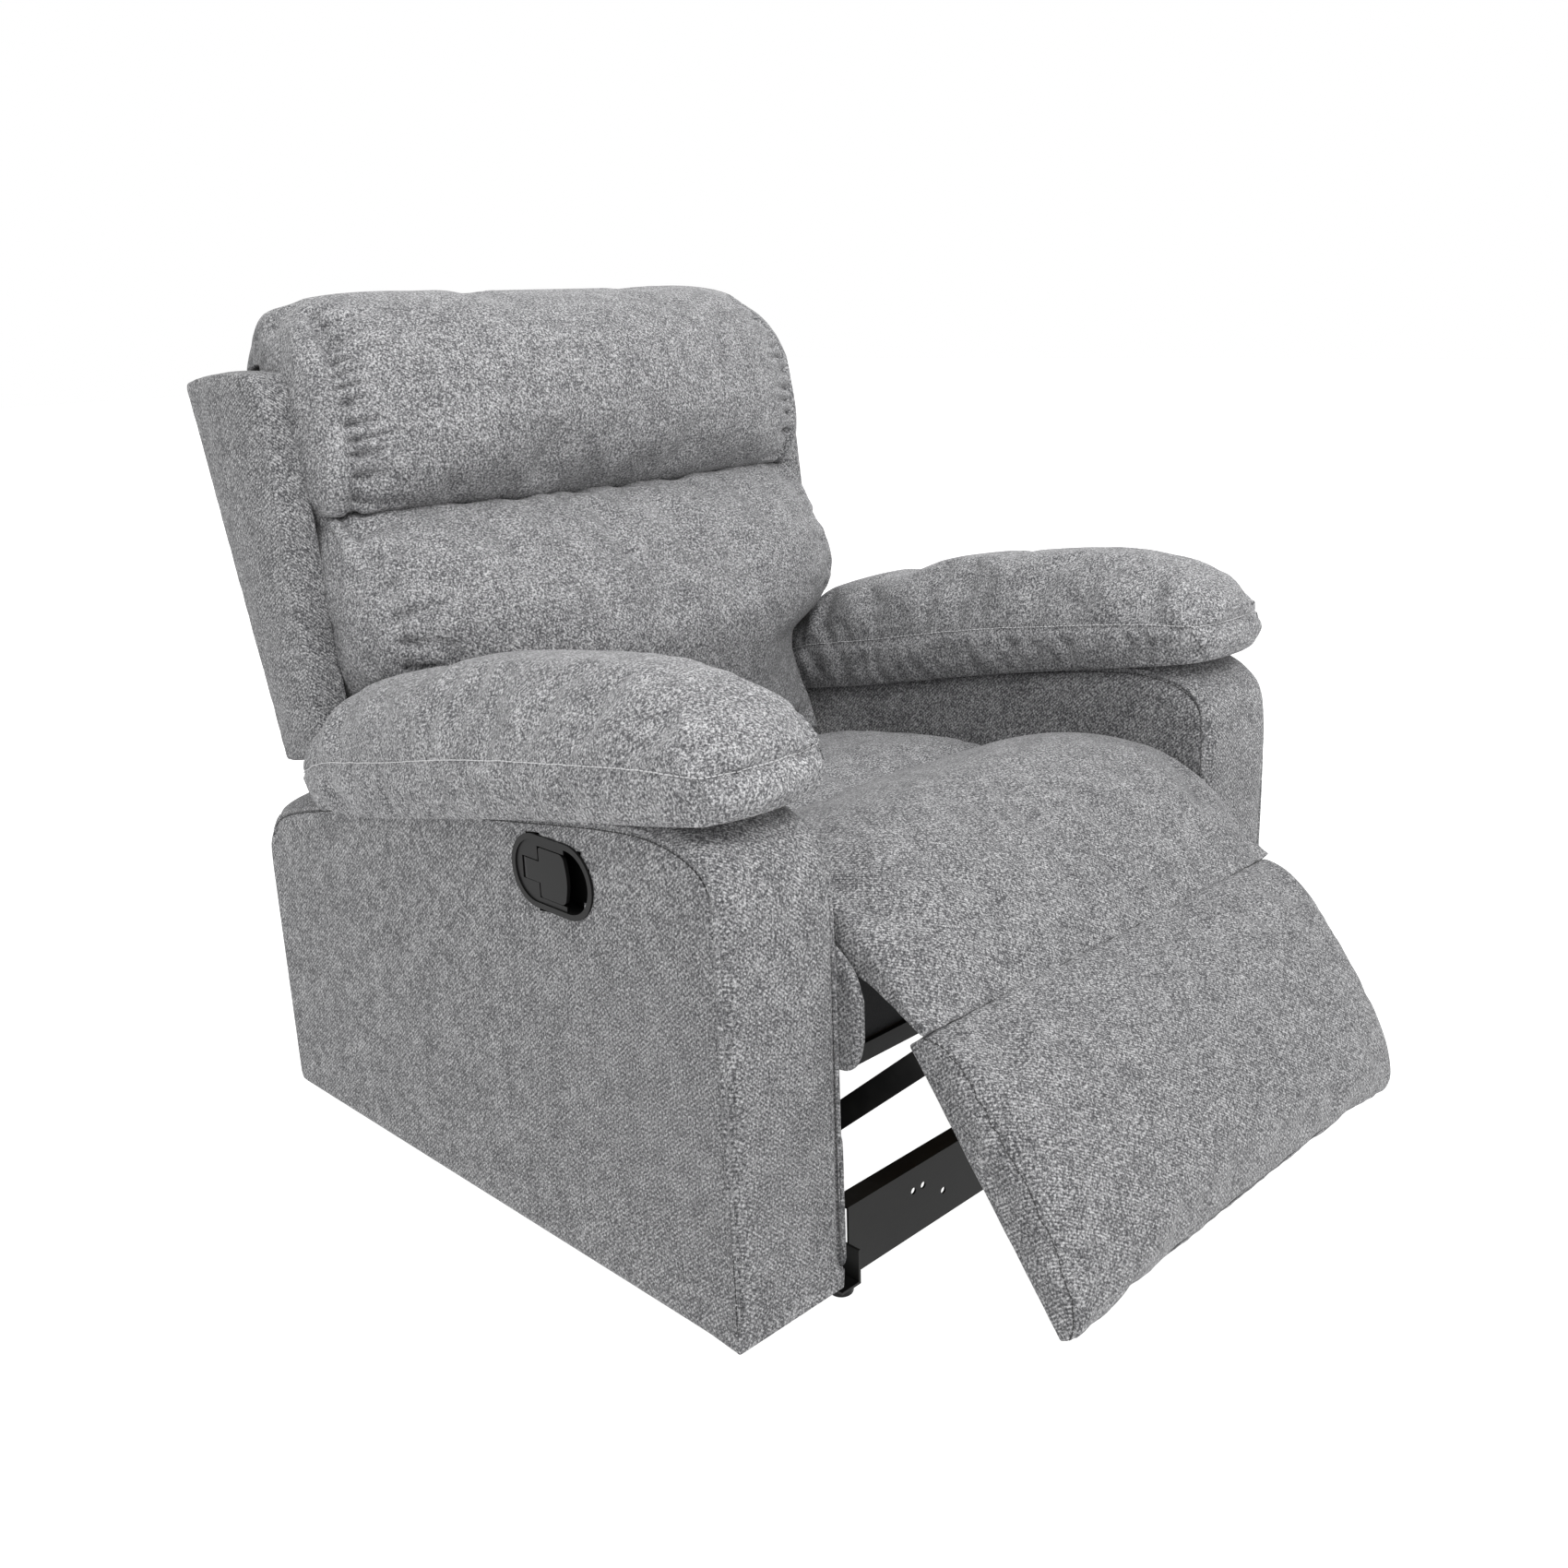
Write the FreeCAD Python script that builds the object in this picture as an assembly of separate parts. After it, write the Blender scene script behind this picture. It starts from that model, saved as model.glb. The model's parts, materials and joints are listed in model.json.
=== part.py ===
import FreeCAD, Part
import math
import os

# A reclining armchair, in millimetres. It faces -Y, +Z is up and X is its width.
# Outlines are drawn as (y, z) corners with y = 0 on the arms' front faces.
# Everything is moved at the end, so that the origin is under the middle of the chair.

# Arms
arm_width = 148.0
arm_inner_half = 332.0
arm_depth = 825.0
arm_bottom = 20.0
arm_front_top = 543.0
arm_rear_top = 385.0
arm_front_round = 95.0
arm_rear_round = 40.0
arm_cover_wall = 6.0
front_panel_thickness = 12.0
front_panel_top = 452.0
pillow_rise = 103.0
pillow_end = 722.0
pillow_inner_half = 322.0
pillow_overhang = 6.0
wood_rail = 20.0

# Steel base
glide_height = 8.0
glide_radius = 13.0
plate_thickness = 3.0
rail_front = -6.0
rail_end = 640.0
rail_height = 40.0
base_half = 303.0
post_top = 208.0
roller_height = 185.0
roller_places = (140.0, 530.0)
roller_radius = 8.0
glide_travel = 22.0
running_gap = 0.05
moving_gap = 0.5
bolt_radius = 4.0

# Seat
seat_half = 316.0
seat_frame_half = 320.5
seat_front = 36.0
seat_end = 596.0
seat_frame_bottom = 240.0
seat_frame_top = 296.0
seat_surface = 396.0
seat_surface_end = 366.0
cushion_split = 300.0
wire_radius = 2.0
deck_thickness = 8.0
skirt_thickness = 9.5
skirt_front = -35.0
skirt_bottom = 259.0
seat_plate_half = 296.0
ledge_end = 146.0
ledge_half = 274.0
knee_crown = 466.0

# Footrest, whose tilt axis is a distant centre that the linkage makes
tilt_y = -98.0
tilt_z = 446.0
footrest_top_y = -111.0
footrest_top_z = 331.0
footrest_slope = 53.13
footrest_length = 300.0
footrest_half = 318.0
footrest_crown = 30.0
footrest_thickness = 20.0
board_thickness = 15.0
board_inset = 4.0
bracket_half = 278.0
bracket_length = 180.0

# Linkage: a parallelogram of the tilt axis, the lift pivot, the open pivot and the drive pivot
drive_y = 102.0
drive_z = 266.0
lift_down = 20.0
lift_outward = -52.0
link_thickness = 4.0
link_radius = 13.0
link_pin_radius = 5.0
open_pivot_play = 0.4
drive_tube_radius = 9.0

# Back
pivot_y = 690.0
pivot_z = 350.0
pivot_radius = 6.0
back_foot_y = 836.0
back_foot_z = 442.0
back_recline = 17.0
back_height = 483.0
back_half = 440.0
wing_width = 48.0
wing_foot_depth = 104.0
wing_top_depth = 176.0
wing_top = 442.0
back_panel_thickness = 14.0
back_frame_depth = 75.0
back_frame_half = 290.0
cushion_rear = 84.0
cushion_half = 386.0
headrest_seam = 256.0
lumbar_spread = 130.0

# Release handle, let into the right arm's outer side
handle_y = 228.0
handle_z = 449.0
handle_length = 127.0
handle_height = 77.0
bezel_rim = 6.0
bezel_depth = 24.0
bezel_wall = 2.5
face_plate_thickness = 1.5
lever_gap = 0.8
lever_pin_radius = 3.0
lever_pin_depth = 9.0
lever_pin_behind = 40.0
lever_stem_half = 11.0
paddle_front = 26.0
paddle_rear = 19.0
paddle_half = 26.0
paddle_thickness = 4.0
cable_radius = 3.0

arm_outer_half = arm_inner_half + arm_width
deck_bottom = seat_frame_top + 2 * wire_radius + 2.0
deck_top = deck_bottom + deck_thickness
pieces = {}


def point(y, z, x=0.0):
    return FreeCAD.Vector(x, y, z)


def rounded_wire(corners):
    """Closed outline of (point, radius) corners, with an arc at each radius above zero."""
    edges = []
    starts = []
    ends = []
    count = len(corners)
    for i, (corner, radius) in enumerate(corners):
        before = (corners[i - 1][0] - corner).normalize()
        after = (corners[(i + 1) % count][0] - corner).normalize()
        turn = before.getAngle(after)
        reach = radius / math.tan(turn / 2)
        start = corner + before * reach
        end = corner + after * reach
        starts.append(start)
        ends.append(end)
        if radius > 0:
            middle = (before + after).normalize()
            centre = corner + middle * (radius / math.sin(turn / 2))
            crown = centre - middle * radius
            edges.append(Part.Arc(start, crown, end).toShape())
    for i in range(count):
        start = ends[i]
        end = starts[(i + 1) % count]
        if (end - start).Length > 0.001:
            edges.append(Part.makeLine(start, end))
    return Part.Wire(Part.__sortEdges__(edges))


def across(corners, x0, x1):
    """Solid with a (y, z, radius) outline, from x0 to x1."""
    wire = rounded_wire([(point(y, z, x0), radius) for y, z, radius in corners])
    return Part.Face(wire).extrude(FreeCAD.Vector(x1 - x0, 0, 0))


def block(x0, x1, y0, y1, z0, z1):
    return Part.makeBox(x1 - x0, y1 - y0, z1 - z0, FreeCAD.Vector(x0, y0, z0))


def bar(y0, z0, y1, z1, radius, x0, x1):
    """Flat bar with round ends, between two pivots."""
    length = math.hypot(y1 - y0, z1 - z0)
    angle = math.degrees(math.atan2(z1 - z0, y1 - y0))
    flat = block(x0, x1, 0, length, -radius, radius)
    flat.rotate(point(0, 0), FreeCAD.Vector(1, 0, 0), angle)
    flat.translate(point(y0, z0))
    return flat.fuse([rod_x(y0, z0, radius, x0, x1), rod_x(y1, z1, radius, x0, x1)]).removeSplitter()


def rod_x(y, z, radius, x0, x1):
    return Part.makeCylinder(radius, x1 - x0, point(y, z, x0), FreeCAD.Vector(1, 0, 0))


def rod_z(x, y, radius, z0, z1):
    return Part.makeCylinder(radius, z1 - z0, point(y, z0, x), FreeCAD.Vector(0, 0, 1))


def stadium(length, height, x0, x1):
    """Solid with a long round-ended outline, around the release handle's centre."""
    reach = (length - height) / 2
    return bar(handle_y - reach, handle_z, handle_y + reach, handle_z, height / 2, x0, x1)


def bent_rod(points, radius):
    """Round rod along straight runs joined by arcs as large as the runs allow."""
    edges = []
    last = points[0]
    for before, corner, after in zip(points, points[1:], points[2:]):
        back_way = before - corner
        on_way = after - corner
        shorter = min(back_way.Length, on_way.Length)
        start = corner + back_way * (0.45 * shorter / back_way.Length)
        end = corner + on_way * (0.45 * shorter / on_way.Length)
        middle = (start - corner).normalize() + (end - corner).normalize()
        turn = back_way.getAngle(on_way)
        reach = 0.45 * shorter
        bend = reach * math.tan(turn / 2)
        centre = corner + middle.normalize() * (reach / math.cos(turn / 2))
        crown = centre - middle * bend
        edges.append(Part.makeLine(last, start))
        edges.append(Part.Arc(start, crown, end).toShape())
        last = end
    edges.append(Part.makeLine(last, points[-1]))
    path = Part.Wire(edges)
    ring = Part.makeCircle(radius, points[0], points[1] - points[0])
    return path.makePipe(Part.Face(Part.Wire([ring])))


def mirrored(shape):
    return shape.mirror(point(0, 0), FreeCAD.Vector(1, 0, 0))


def softened(shape, radius, x0, x1):
    """Round the edges that lie in the two side faces."""
    sides = []
    for edge in shape.Edges:
        box = edge.BoundBox
        flat = box.XLength < 0.001
        if flat and min(abs(box.XMin - x0), abs(box.XMin - x1)) < 0.001:
            sides.append(edge)
    return shape.makeFillet(radius, sides)


def both_sides(name, shape):
    """Keep a left piece and its mirror image; the left side is +X."""
    pieces[name + "_left"] = shape
    pieces[name + "_right"] = mirrored(shape)


def arm_top(y):
    return arm_front_top + (arm_rear_top - arm_front_top) * y / arm_depth


def arm_outline(inset, bottom):
    fall = (arm_front_top - arm_rear_top) / arm_depth
    lower = inset * math.hypot(1, fall)
    return [
        (inset, bottom, 0),
        (inset, arm_top(inset) - lower, arm_front_round - inset),
        (arm_depth - inset, arm_top(arm_depth - inset) - lower, arm_rear_round - inset),
        (arm_depth - inset, bottom, 0),
    ]


def back_point(along, forward):
    """(y, z) of a place in the back: along it from its foot, and forward of its rear face."""
    lean = math.radians(back_recline)
    y = back_foot_y + along * math.sin(lean) - forward * math.cos(lean)
    z = back_foot_z + along * math.cos(lean) + forward * math.sin(lean)
    return y, z


def back_solid(corners, x0, x1):
    outline = []
    for along, forward, radius in corners:
        y, z = back_point(along, forward)
        outline.append((y, z, radius))
    return across(outline, x0, x1)


def footrest_point(down, outward):
    """(y, z) of a place in the footrest: down from its top edge, and outward of that line."""
    slope = math.radians(footrest_slope)
    y = footrest_top_y - down * math.cos(slope) - outward * math.sin(slope)
    z = footrest_top_z - down * math.sin(slope) + outward * math.cos(slope)
    return y, z


def footrest_solid(corners, x0, x1):
    outline = []
    for down, outward, radius in corners:
        y, z = footrest_point(down, outward)
        outline.append((y, z, radius))
    return across(outline, x0, x1)


def arm_bolt_places():
    return ((60.0, 36.0), (590.0, 36.0))


def make_base():
    inner = base_half
    outer = base_half + plate_thickness
    flange_end = arm_inner_half - 0.5
    bottom = glide_height
    top = bottom + rail_height
    upright = block(inner, outer, rail_front, rail_end, bottom, top)
    flange = block(inner, flange_end, rail_front, rail_end, bottom, bottom + plate_thickness)
    rail = upright.fuse(flange).removeSplitter()
    post_x = (outer, outer + plate_thickness)
    foot = bottom + plate_thickness
    front_post = across([
        (24, foot, 4), (120, foot, 4), (275, 130, 10), (275, post_top, 10), (95, post_top, 20),
        (40, 140, 30),
    ], *post_x)
    rear_post = across([
        (470, foot, 4), (610, foot, 4), (590, post_top, 10), (480, post_top, 10),
    ], *post_x)
    for y in roller_places:
        slot = bar(y, roller_height, y - glide_travel, roller_height, roller_radius + moving_gap,
                   post_x[0] - 1, post_x[1] + 1)
        front_post = front_post.cut(slot)
        rear_post = rear_post.cut(slot)
    bolts = []
    nut = 4.0
    for y, z in arm_bolt_places():
        hole = rod_x(y, z, bolt_radius, inner - 1, post_x[1] + 1)
        rail = rail.cut(hole)
        front_post = front_post.cut(hole)
        rear_post = rear_post.cut(hole)
        shank = rod_x(y, z, bolt_radius, inner - nut, arm_inner_half + arm_cover_wall + 30)
        head = rod_x(y, z, 2 * bolt_radius, inner - nut, inner)
        bolts.append(shank.fuse(head).removeSplitter())
    both_sides("base_side_rail", rail)
    both_sides("base_posts", Part.Compound([front_post, rear_post]))
    pieces["arm_bolts"] = Part.Compound(bolts + [mirrored(b) for b in bolts])

    web = block(-inner, inner, 10, 12.5, bottom, 90)
    lower = block(-inner, inner, 10, 34, bottom, bottom + 2.5)
    upper = block(-inner, inner, 10, 34, 87.5, 90)
    cross = web.fuse([lower, upper]).removeSplitter()
    for x, height in ((-200, 62), (-184, 62), (-150, 40), (150, 40), (184, 62), (200, 62)):
        hole = Part.makeCylinder(4, 10, point(5, height, x), FreeCAD.Vector(0, 1, 0))
        cross = cross.cut(hole)
    pieces["front_cross_rail"] = cross
    outer_tube = block(-inner, inner, 602, 632, bottom + 6, bottom + 36)
    bore = block(-inner, inner, 604, 630, bottom + 8, bottom + 34)
    pieces["rear_cross_tube"] = outer_tube.cut(bore)

    glides = []
    for x in (-318, 318):
        for y in (rail_front + glide_radius + 1, rail_end - glide_radius - 3):
            foot_pad = rod_z(x, y, glide_radius, 0, glide_height)
            lowest = [e for e in foot_pad.Edges if e.BoundBox.ZMax < 0.001]
            glides.append(foot_pad.makeFillet(2.5, lowest))
    pieces["floor_glides"] = Part.Compound(glides)


def make_arms():
    inner = arm_inner_half
    outer = arm_outer_half
    wall = arm_cover_wall
    cover = across(arm_outline(0, arm_bottom), inner, outer)
    hollow = across(arm_outline(wall, arm_bottom - 1), inner + wall, outer - wall)
    cover = cover.cut(hollow)
    for y, z in arm_bolt_places():
        cover = cover.cut(rod_x(y, z, bolt_radius, inner - 1, inner + wall + 1))

    band = wall + 2
    frame = across(arm_outline(band, arm_bottom + 4), inner + band, outer - band)
    rim = band + 2 * wood_rail
    window = across([
        (rim, arm_bottom + 2 * wood_rail, 0),
        (rim, arm_top(rim) - 2.5 * wood_rail, 0),
        (arm_depth - rim, arm_top(arm_depth - rim) - 2.5 * wood_rail, 0),
        (arm_depth - rim, arm_bottom + 2 * wood_rail, 0),
    ], inner, outer)
    frame = frame.cut(window)
    core = across([
        (band + wood_rail, arm_bottom + wood_rail, 0),
        (band + wood_rail, arm_top(band + wood_rail) - 3 * wood_rail, 0),
        (arm_depth - band - wood_rail, arm_top(arm_depth - band) - 2.5 * wood_rail, 0),
        (arm_depth - band - wood_rail, arm_bottom + wood_rail, 0),
    ], inner + band + wood_rail, outer - band - wood_rail)
    frame = frame.cut(core)
    for y, z in arm_bolt_places():
        frame = frame.cut(rod_x(y, z, bolt_radius, inner, inner + 60))
    panel = block(inner, outer, -front_panel_thickness, 0, arm_bottom, front_panel_top)
    front_edges = []
    for edge in panel.Edges:
        if edge.BoundBox.YMax < -front_panel_thickness + 0.001 and edge.BoundBox.ZMin > arm_bottom - 1:
            if edge.BoundBox.ZMax > arm_bottom + 1:
                front_edges.append(edge)
    panel = panel.makeFillet(8, front_edges)
    base = block(inner + wall + 1, outer - wall - 1, wall + 1, arm_depth - wall - 1,
                 arm_bottom, arm_bottom + 3)

    top = arm_front_top + pillow_rise
    pillow = across([
        (12, arm_top(12), 20), (4, top - 16, 50), (250, top + 6, 200),
        (pillow_end - 22, arm_top(pillow_end) + 142, 50), (pillow_end, arm_top(pillow_end), 20),
    ], pillow_inner_half, outer + pillow_overhang)
    pillow = softened(pillow, 18, pillow_inner_half, outer + pillow_overhang)

    both_sides("arm_cover", cover)
    both_sides("arm_frame", frame)
    both_sides("arm_front_panel", panel)
    both_sides("arm_base_cloth", base)
    both_sides("arm_pillow", pillow)


def make_handle():
    face = -arm_outer_half
    inner_length = handle_length - 2 * bezel_rim
    inner_height = handle_height - 2 * bezel_rim
    well_length = inner_length + 2 * bezel_wall
    well_height = inner_height + 2 * bezel_wall
    opening = stadium(well_length, well_height, face - 1, face + arm_cover_wall + 1)
    pieces["arm_cover_right"] = pieces["arm_cover_right"].cut(opening)
    room = block(face - 1, face + bezel_depth + 66, handle_y - handle_length / 2 - 8,
                 handle_y + handle_length / 2 + 8, handle_z - handle_height / 2 - 8,
                 handle_z + handle_height / 2 + 8)
    pieces["arm_frame_right"] = pieces["arm_frame_right"].cut(room)

    rim = stadium(handle_length, handle_height, face - 3, face)
    cup = stadium(well_length, well_height, face, face + bezel_depth)
    recess = stadium(inner_length, inner_height, face - 4, face + bezel_depth - bezel_wall)
    bezel = rim.fuse(cup).removeSplitter().cut(recess)

    # The lever is a T on its side: its stem runs back to the pin, and its paddle fills the middle.
    pin_x = face + lever_pin_depth
    pin_y = handle_y + lever_pin_behind
    lever_face = face - 2
    hub_radius = pin_x - lever_face
    shoulder = handle_y + paddle_rear
    finger_edge = handle_y - paddle_front
    face_plate = stadium(inner_length + 1, inner_height + 1, face - face_plate_thickness, face)
    face_plate = face_plate.cut(block(face - 4, face + 1, handle_y - handle_length, finger_edge + 5,
                                      handle_z - handle_height, handle_z + handle_height))
    stem_room = lever_stem_half + lever_gap
    stem_end = pin_y + hub_radius - 4
    paddle_room = paddle_half + lever_gap
    face_plate = face_plate.cut(block(face - 4, face + 1, finger_edge, stem_end, handle_z - stem_room,
                                      handle_z + stem_room))
    face_plate = face_plate.cut(block(face - 4, face + 1, finger_edge, shoulder + 3 * lever_gap,
                                      handle_z - paddle_room, handle_z + paddle_room))
    bezel = bezel.fuse(face_plate)

    lug = 3.0
    pin_low = handle_z - lever_stem_half - 0.5
    pin_high = handle_z + lever_stem_half + 0.5
    lugs = []
    for z in (pin_low - lug, pin_high):
        lugs.append(block(pin_x - 5, face + bezel_depth - bezel_wall, pin_y - 5, pin_y + 5, z, z + lug))
    bezel = bezel.fuse(lugs).removeSplitter()
    bezel = bezel.cut(rod_z(pin_x, pin_y, lever_pin_radius, pin_low - lug, pin_high + lug))
    pieces["release_bezel"] = bezel
    pieces["lever_pin"] = rod_z(pin_x, pin_y, lever_pin_radius, pin_low - lug, pin_high + lug)

    low = handle_z - lever_stem_half
    high = handle_z + lever_stem_half
    hub = rod_z(pin_x, pin_y, hub_radius, low, high)
    stem = block(lever_face, face + 4, shoulder - 4, pin_y, low, high)
    paddle = across([
        (shoulder, handle_z - paddle_half, 3), (finger_edge + 6, handle_z - paddle_half, 8),
        (finger_edge, handle_z, 60), (finger_edge + 6, handle_z + paddle_half, 8),
        (shoulder, handle_z + paddle_half, 3),
    ], lever_face, lever_face + paddle_thickness)
    lever = hub.fuse([stem, paddle]).removeSplitter()
    bore = rod_z(pin_x, pin_y, lever_pin_radius + running_gap, low - 1, high + 1)
    pieces["release_lever"] = lever.cut(bore)

    # The cable drops through the arm's hollow and ends on the front post.
    start = face + bezel_depth + 0.8
    wall = -(arm_inner_half + arm_cover_wall)
    end = -(base_half + 2 * plate_thickness)
    route = [(start, 449), (start + 35, 441), (start + 46, 394), (start + 50, 336), (start + 52, 278),
             (start + 58, 222), (wall - 41, 174), (wall - 5, 148), (wall + 11, 140), (end, 140)]
    cable_y = 250.0
    points = [point(cable_y, z, x) for x, z in route]
    cable = bent_rod(points, cable_radius)
    pieces["release_cable"] = cable
    exit_hole = rod_x(cable_y, 143, cable_radius + 4, -arm_inner_half - 10, -arm_inner_half + 1)
    pieces["arm_cover_right"] = pieces["arm_cover_right"].cut(exit_hole)


def sinuous_spring(x, start, end, place):
    """Zigzag wire along a frame; place turns (across, along) into a point."""
    reach = 17.0
    pitch = 26.0
    count = int((end - start) / pitch)
    points = [place(x, start)]
    side = 1
    for i in range(count):
        along = start + pitch * (i + 0.5)
        points.append(place(x + side * reach, along))
        side = -side
    points.append(place(x, end))
    return bent_rod(points, wire_radius)


def make_seat():
    half = seat_frame_half
    outside = block(-half, half, seat_front, seat_end, seat_frame_bottom, seat_frame_top)
    inside = block(-half + wood_rail, half - wood_rail, seat_front + wood_rail, seat_end - wood_rail,
                   seat_frame_bottom, seat_frame_top)
    ring = outside.cut(inside)
    # The front rail is set back behind a ledge, so that the links pass beside the ledge.
    ring = ring.cut(block(-half + wood_rail, half - wood_rail, seat_front - 1, ledge_end,
                          seat_frame_bottom - 1, seat_frame_top + 1))
    rail = block(-half + wood_rail, half - wood_rail, ledge_end, ledge_end + wood_rail,
                 seat_frame_bottom, seat_frame_top)
    ledge = block(-ledge_half, ledge_half, seat_front, ledge_end, seat_frame_top - 16, seat_frame_top)
    pieces["seat_frame"] = ring.fuse([rail, ledge]).removeSplitter()
    wire_height = seat_frame_top + wire_radius + 0.1
    springs = []
    for x in (-225, -75, 75, 225):
        springs.append(sinuous_spring(x, seat_front + 8, seat_end - 8,
                                      lambda side, along: point(along, wire_height, side)))
    pieces["seat_springs"] = Part.Compound(springs)
    pieces["seat_deck"] = block(-seat_half, seat_half, seat_front + 8, seat_end, deck_bottom, deck_top)
    pieces["dust_cover"] = block(-ledge_half, ledge_half, ledge_end + 4, seat_end - 4,
                                 seat_frame_bottom - 2, seat_frame_bottom)
    front_board = block(-ledge_half, ledge_half, seat_front - 5, seat_front, seat_frame_bottom + 14, 334)
    pieces["seat_front_board"] = front_board
    lip_low = seat_frame_bottom - 8
    lip = block(-ledge_half, ledge_half, seat_front - 10, seat_front, lip_low, lip_low + 20)
    lip_hollow = block(-ledge_half, ledge_half, seat_front - 7.5, seat_front, lip_low + 2, lip_low + 18)
    pieces["front_seat_rail"] = lip.cut(lip_hollow)

    cushion = across([
        (cushion_split + 1, deck_top, 8), (cushion_split + 1, seat_surface + 3, 26),
        (seat_end - 1, seat_surface_end, 22), (seat_end - 1, deck_top, 8),
    ], -seat_half, seat_half)
    pieces["seat_cushion"] = softened(cushion, 6, -seat_half, seat_half)
    knee = across([
        (cushion_split - 1, deck_top, 8), (seat_front + 9, deck_top, 0), (30, 356, 0), (-44, 357, 8),
        (-76, 366, 10), (-66, 402, 16), (-30, 438, 40), (70, knee_crown + 4, 110),
        (180, knee_crown - 10, 120), (cushion_split - 1, seat_surface + 3, 26),
    ], -seat_half, seat_half)
    pieces["knee_pad"] = softened(knee, 6, -seat_half, seat_half)

    skirt = across([
        (skirt_front, skirt_bottom, 34), (skirt_front, 352, 10), (0, 392, 20), (90, 425, 60),
        (cushion_split, 384, 60), (seat_end - 20, 350, 20), (seat_end - 20, skirt_bottom, 30),
    ], half, half + skirt_thickness)
    both_sides("seat_skirt", skirt)

    inner = seat_plate_half
    outer = inner + plate_thickness
    plate = across([
        (64, seat_frame_top - 6, 10), (64, 200, 10), (110, 166, 20), (560, 160, 40), (640, 220, 60),
        (pivot_y + 26, pivot_z + 4, 20), (pivot_y + 16, pivot_z + 28, 20),
        (pivot_y - 22, pivot_z + 22, 20), (610, seat_frame_bottom - plate_thickness, 30),
        (ledge_end - 3, seat_frame_bottom - plate_thickness, 10), (ledge_end - 3, seat_frame_top - 6, 10),
    ], inner, outer)
    flange = block(inner, seat_frame_half - 4, drive_y + 60, 590, seat_frame_bottom - plate_thickness,
                   seat_frame_bottom)
    plate = plate.fuse(flange).removeSplitter()
    rollers = []
    for y in roller_places:
        plate = plate.cut(rod_x(y, roller_height, bolt_radius, inner - 1, outer + 1))
        axle = rod_x(y, roller_height, bolt_radius, inner, outer)
        wheel = rod_x(y, roller_height, roller_radius, outer, base_half + 3 * plate_thickness)
        rollers.append(axle.fuse(wheel).removeSplitter())
    plate = plate.cut(rod_x(pivot_y, pivot_z, pivot_radius, inner - 1, outer + 1))
    plate = plate.cut(rod_x(drive_y, drive_z, drive_tube_radius + running_gap, inner - 1, outer + 1))
    both_sides("seat_plate", plate)
    pieces["glide_rollers"] = Part.Compound(rollers + [mirrored(r) for r in rollers])
    pivot = rod_x(pivot_y, pivot_z, pivot_radius, inner - 10, outer)
    washer = rod_x(pivot_y, pivot_z, 2 * pivot_radius, outer, outer + 2)
    pivot = pivot.fuse(washer).removeSplitter()
    pieces["back_pivot_pins"] = Part.Compound([pivot, mirrored(pivot)])
    screws = []
    for y in (190, 310, 430, 570):
        head = rod_z(inner + 12, y, 5, seat_frame_bottom - plate_thickness - 3,
                     seat_frame_bottom - plate_thickness)
        screws.append(head)
    pieces["seat_screws"] = Part.Compound(screws + [mirrored(s) for s in screws])


def make_linkage():
    lift_y, lift_z = footrest_point(lift_down, lift_outward)
    open_pivot_y = lift_y + drive_y - tilt_y
    open_pivot_z = lift_z + drive_z - tilt_z
    drive_inner = seat_plate_half - 2 - link_thickness
    drive = bar(drive_y, drive_z, open_pivot_y, open_pivot_z, link_radius, drive_inner,
                drive_inner + link_thickness)
    drive = drive.fuse(rod_x(drive_y, drive_z, drive_tube_radius + 8, drive_inner,
                             drive_inner + link_thickness)).removeSplitter()
    drive = drive.cut(rod_x(drive_y, drive_z, drive_tube_radius, drive_inner - 1, seat_plate_half))
    drive = drive.cut(rod_x(open_pivot_y, open_pivot_z, link_pin_radius, drive_inner - 1, seat_plate_half))
    both_sides("drive_link", drive)
    end = seat_plate_half + plate_thickness
    tube = rod_x(drive_y, drive_z, drive_tube_radius, -end, end)
    pieces["drive_tube"] = tube.cut(rod_x(drive_y, drive_z, drive_tube_radius - 2, -end - 1, end + 1))
    lift_outer = drive_inner - 1.5
    lift_inner = lift_outer - link_thickness
    open_pin = rod_x(open_pivot_y, open_pivot_z, link_pin_radius, lift_inner - 2,
                     drive_inner + link_thickness)
    pieces["open_pivot_pins"] = Part.Compound([open_pin, mirrored(open_pin)])

    eye = link_pin_radius + open_pivot_play
    lift = bar(open_pivot_y, open_pivot_z, lift_y, lift_z, link_radius, lift_inner, lift_outer)
    lift = lift.fuse(rod_x(open_pivot_y, open_pivot_z, eye + 7, lift_inner, lift_outer)).removeSplitter()
    lift = lift.cut(rod_x(open_pivot_y, open_pivot_z, eye, lift_inner - 1, lift_outer + 1))
    lift = lift.cut(rod_x(lift_y, lift_z, link_pin_radius + running_gap, lift_inner - 1, lift_outer + 1))
    both_sides("lift_link", lift)

    bracket_outer = bracket_half + plate_thickness
    pin = rod_x(lift_y, lift_z, link_pin_radius, bracket_half - 2, lift_outer + 1)
    pieces["lift_pins"] = Part.Compound([pin, mirrored(pin)])
    back_face = -footrest_thickness - board_thickness
    plate = footrest_solid([
        (4, back_face, 0), (bracket_length, back_face, 0), (bracket_length - 10, back_face - 16, 8),
        (lift_down + 26, lift_outward - 14, 12), (4, lift_outward - 14, 12),
    ], bracket_half, bracket_outer)
    flange = footrest_solid([
        (4, back_face, 0), (bracket_length, back_face, 0),
        (bracket_length, back_face - plate_thickness, 0), (4, back_face - plate_thickness, 0),
    ], bracket_half - 20, bracket_outer)
    bracket = plate.fuse(flange).removeSplitter()
    bracket = bracket.cut(rod_x(lift_y, lift_z, link_pin_radius, bracket_half - 1, bracket_outer + 1))
    both_sides("footrest_bracket", bracket)


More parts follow.
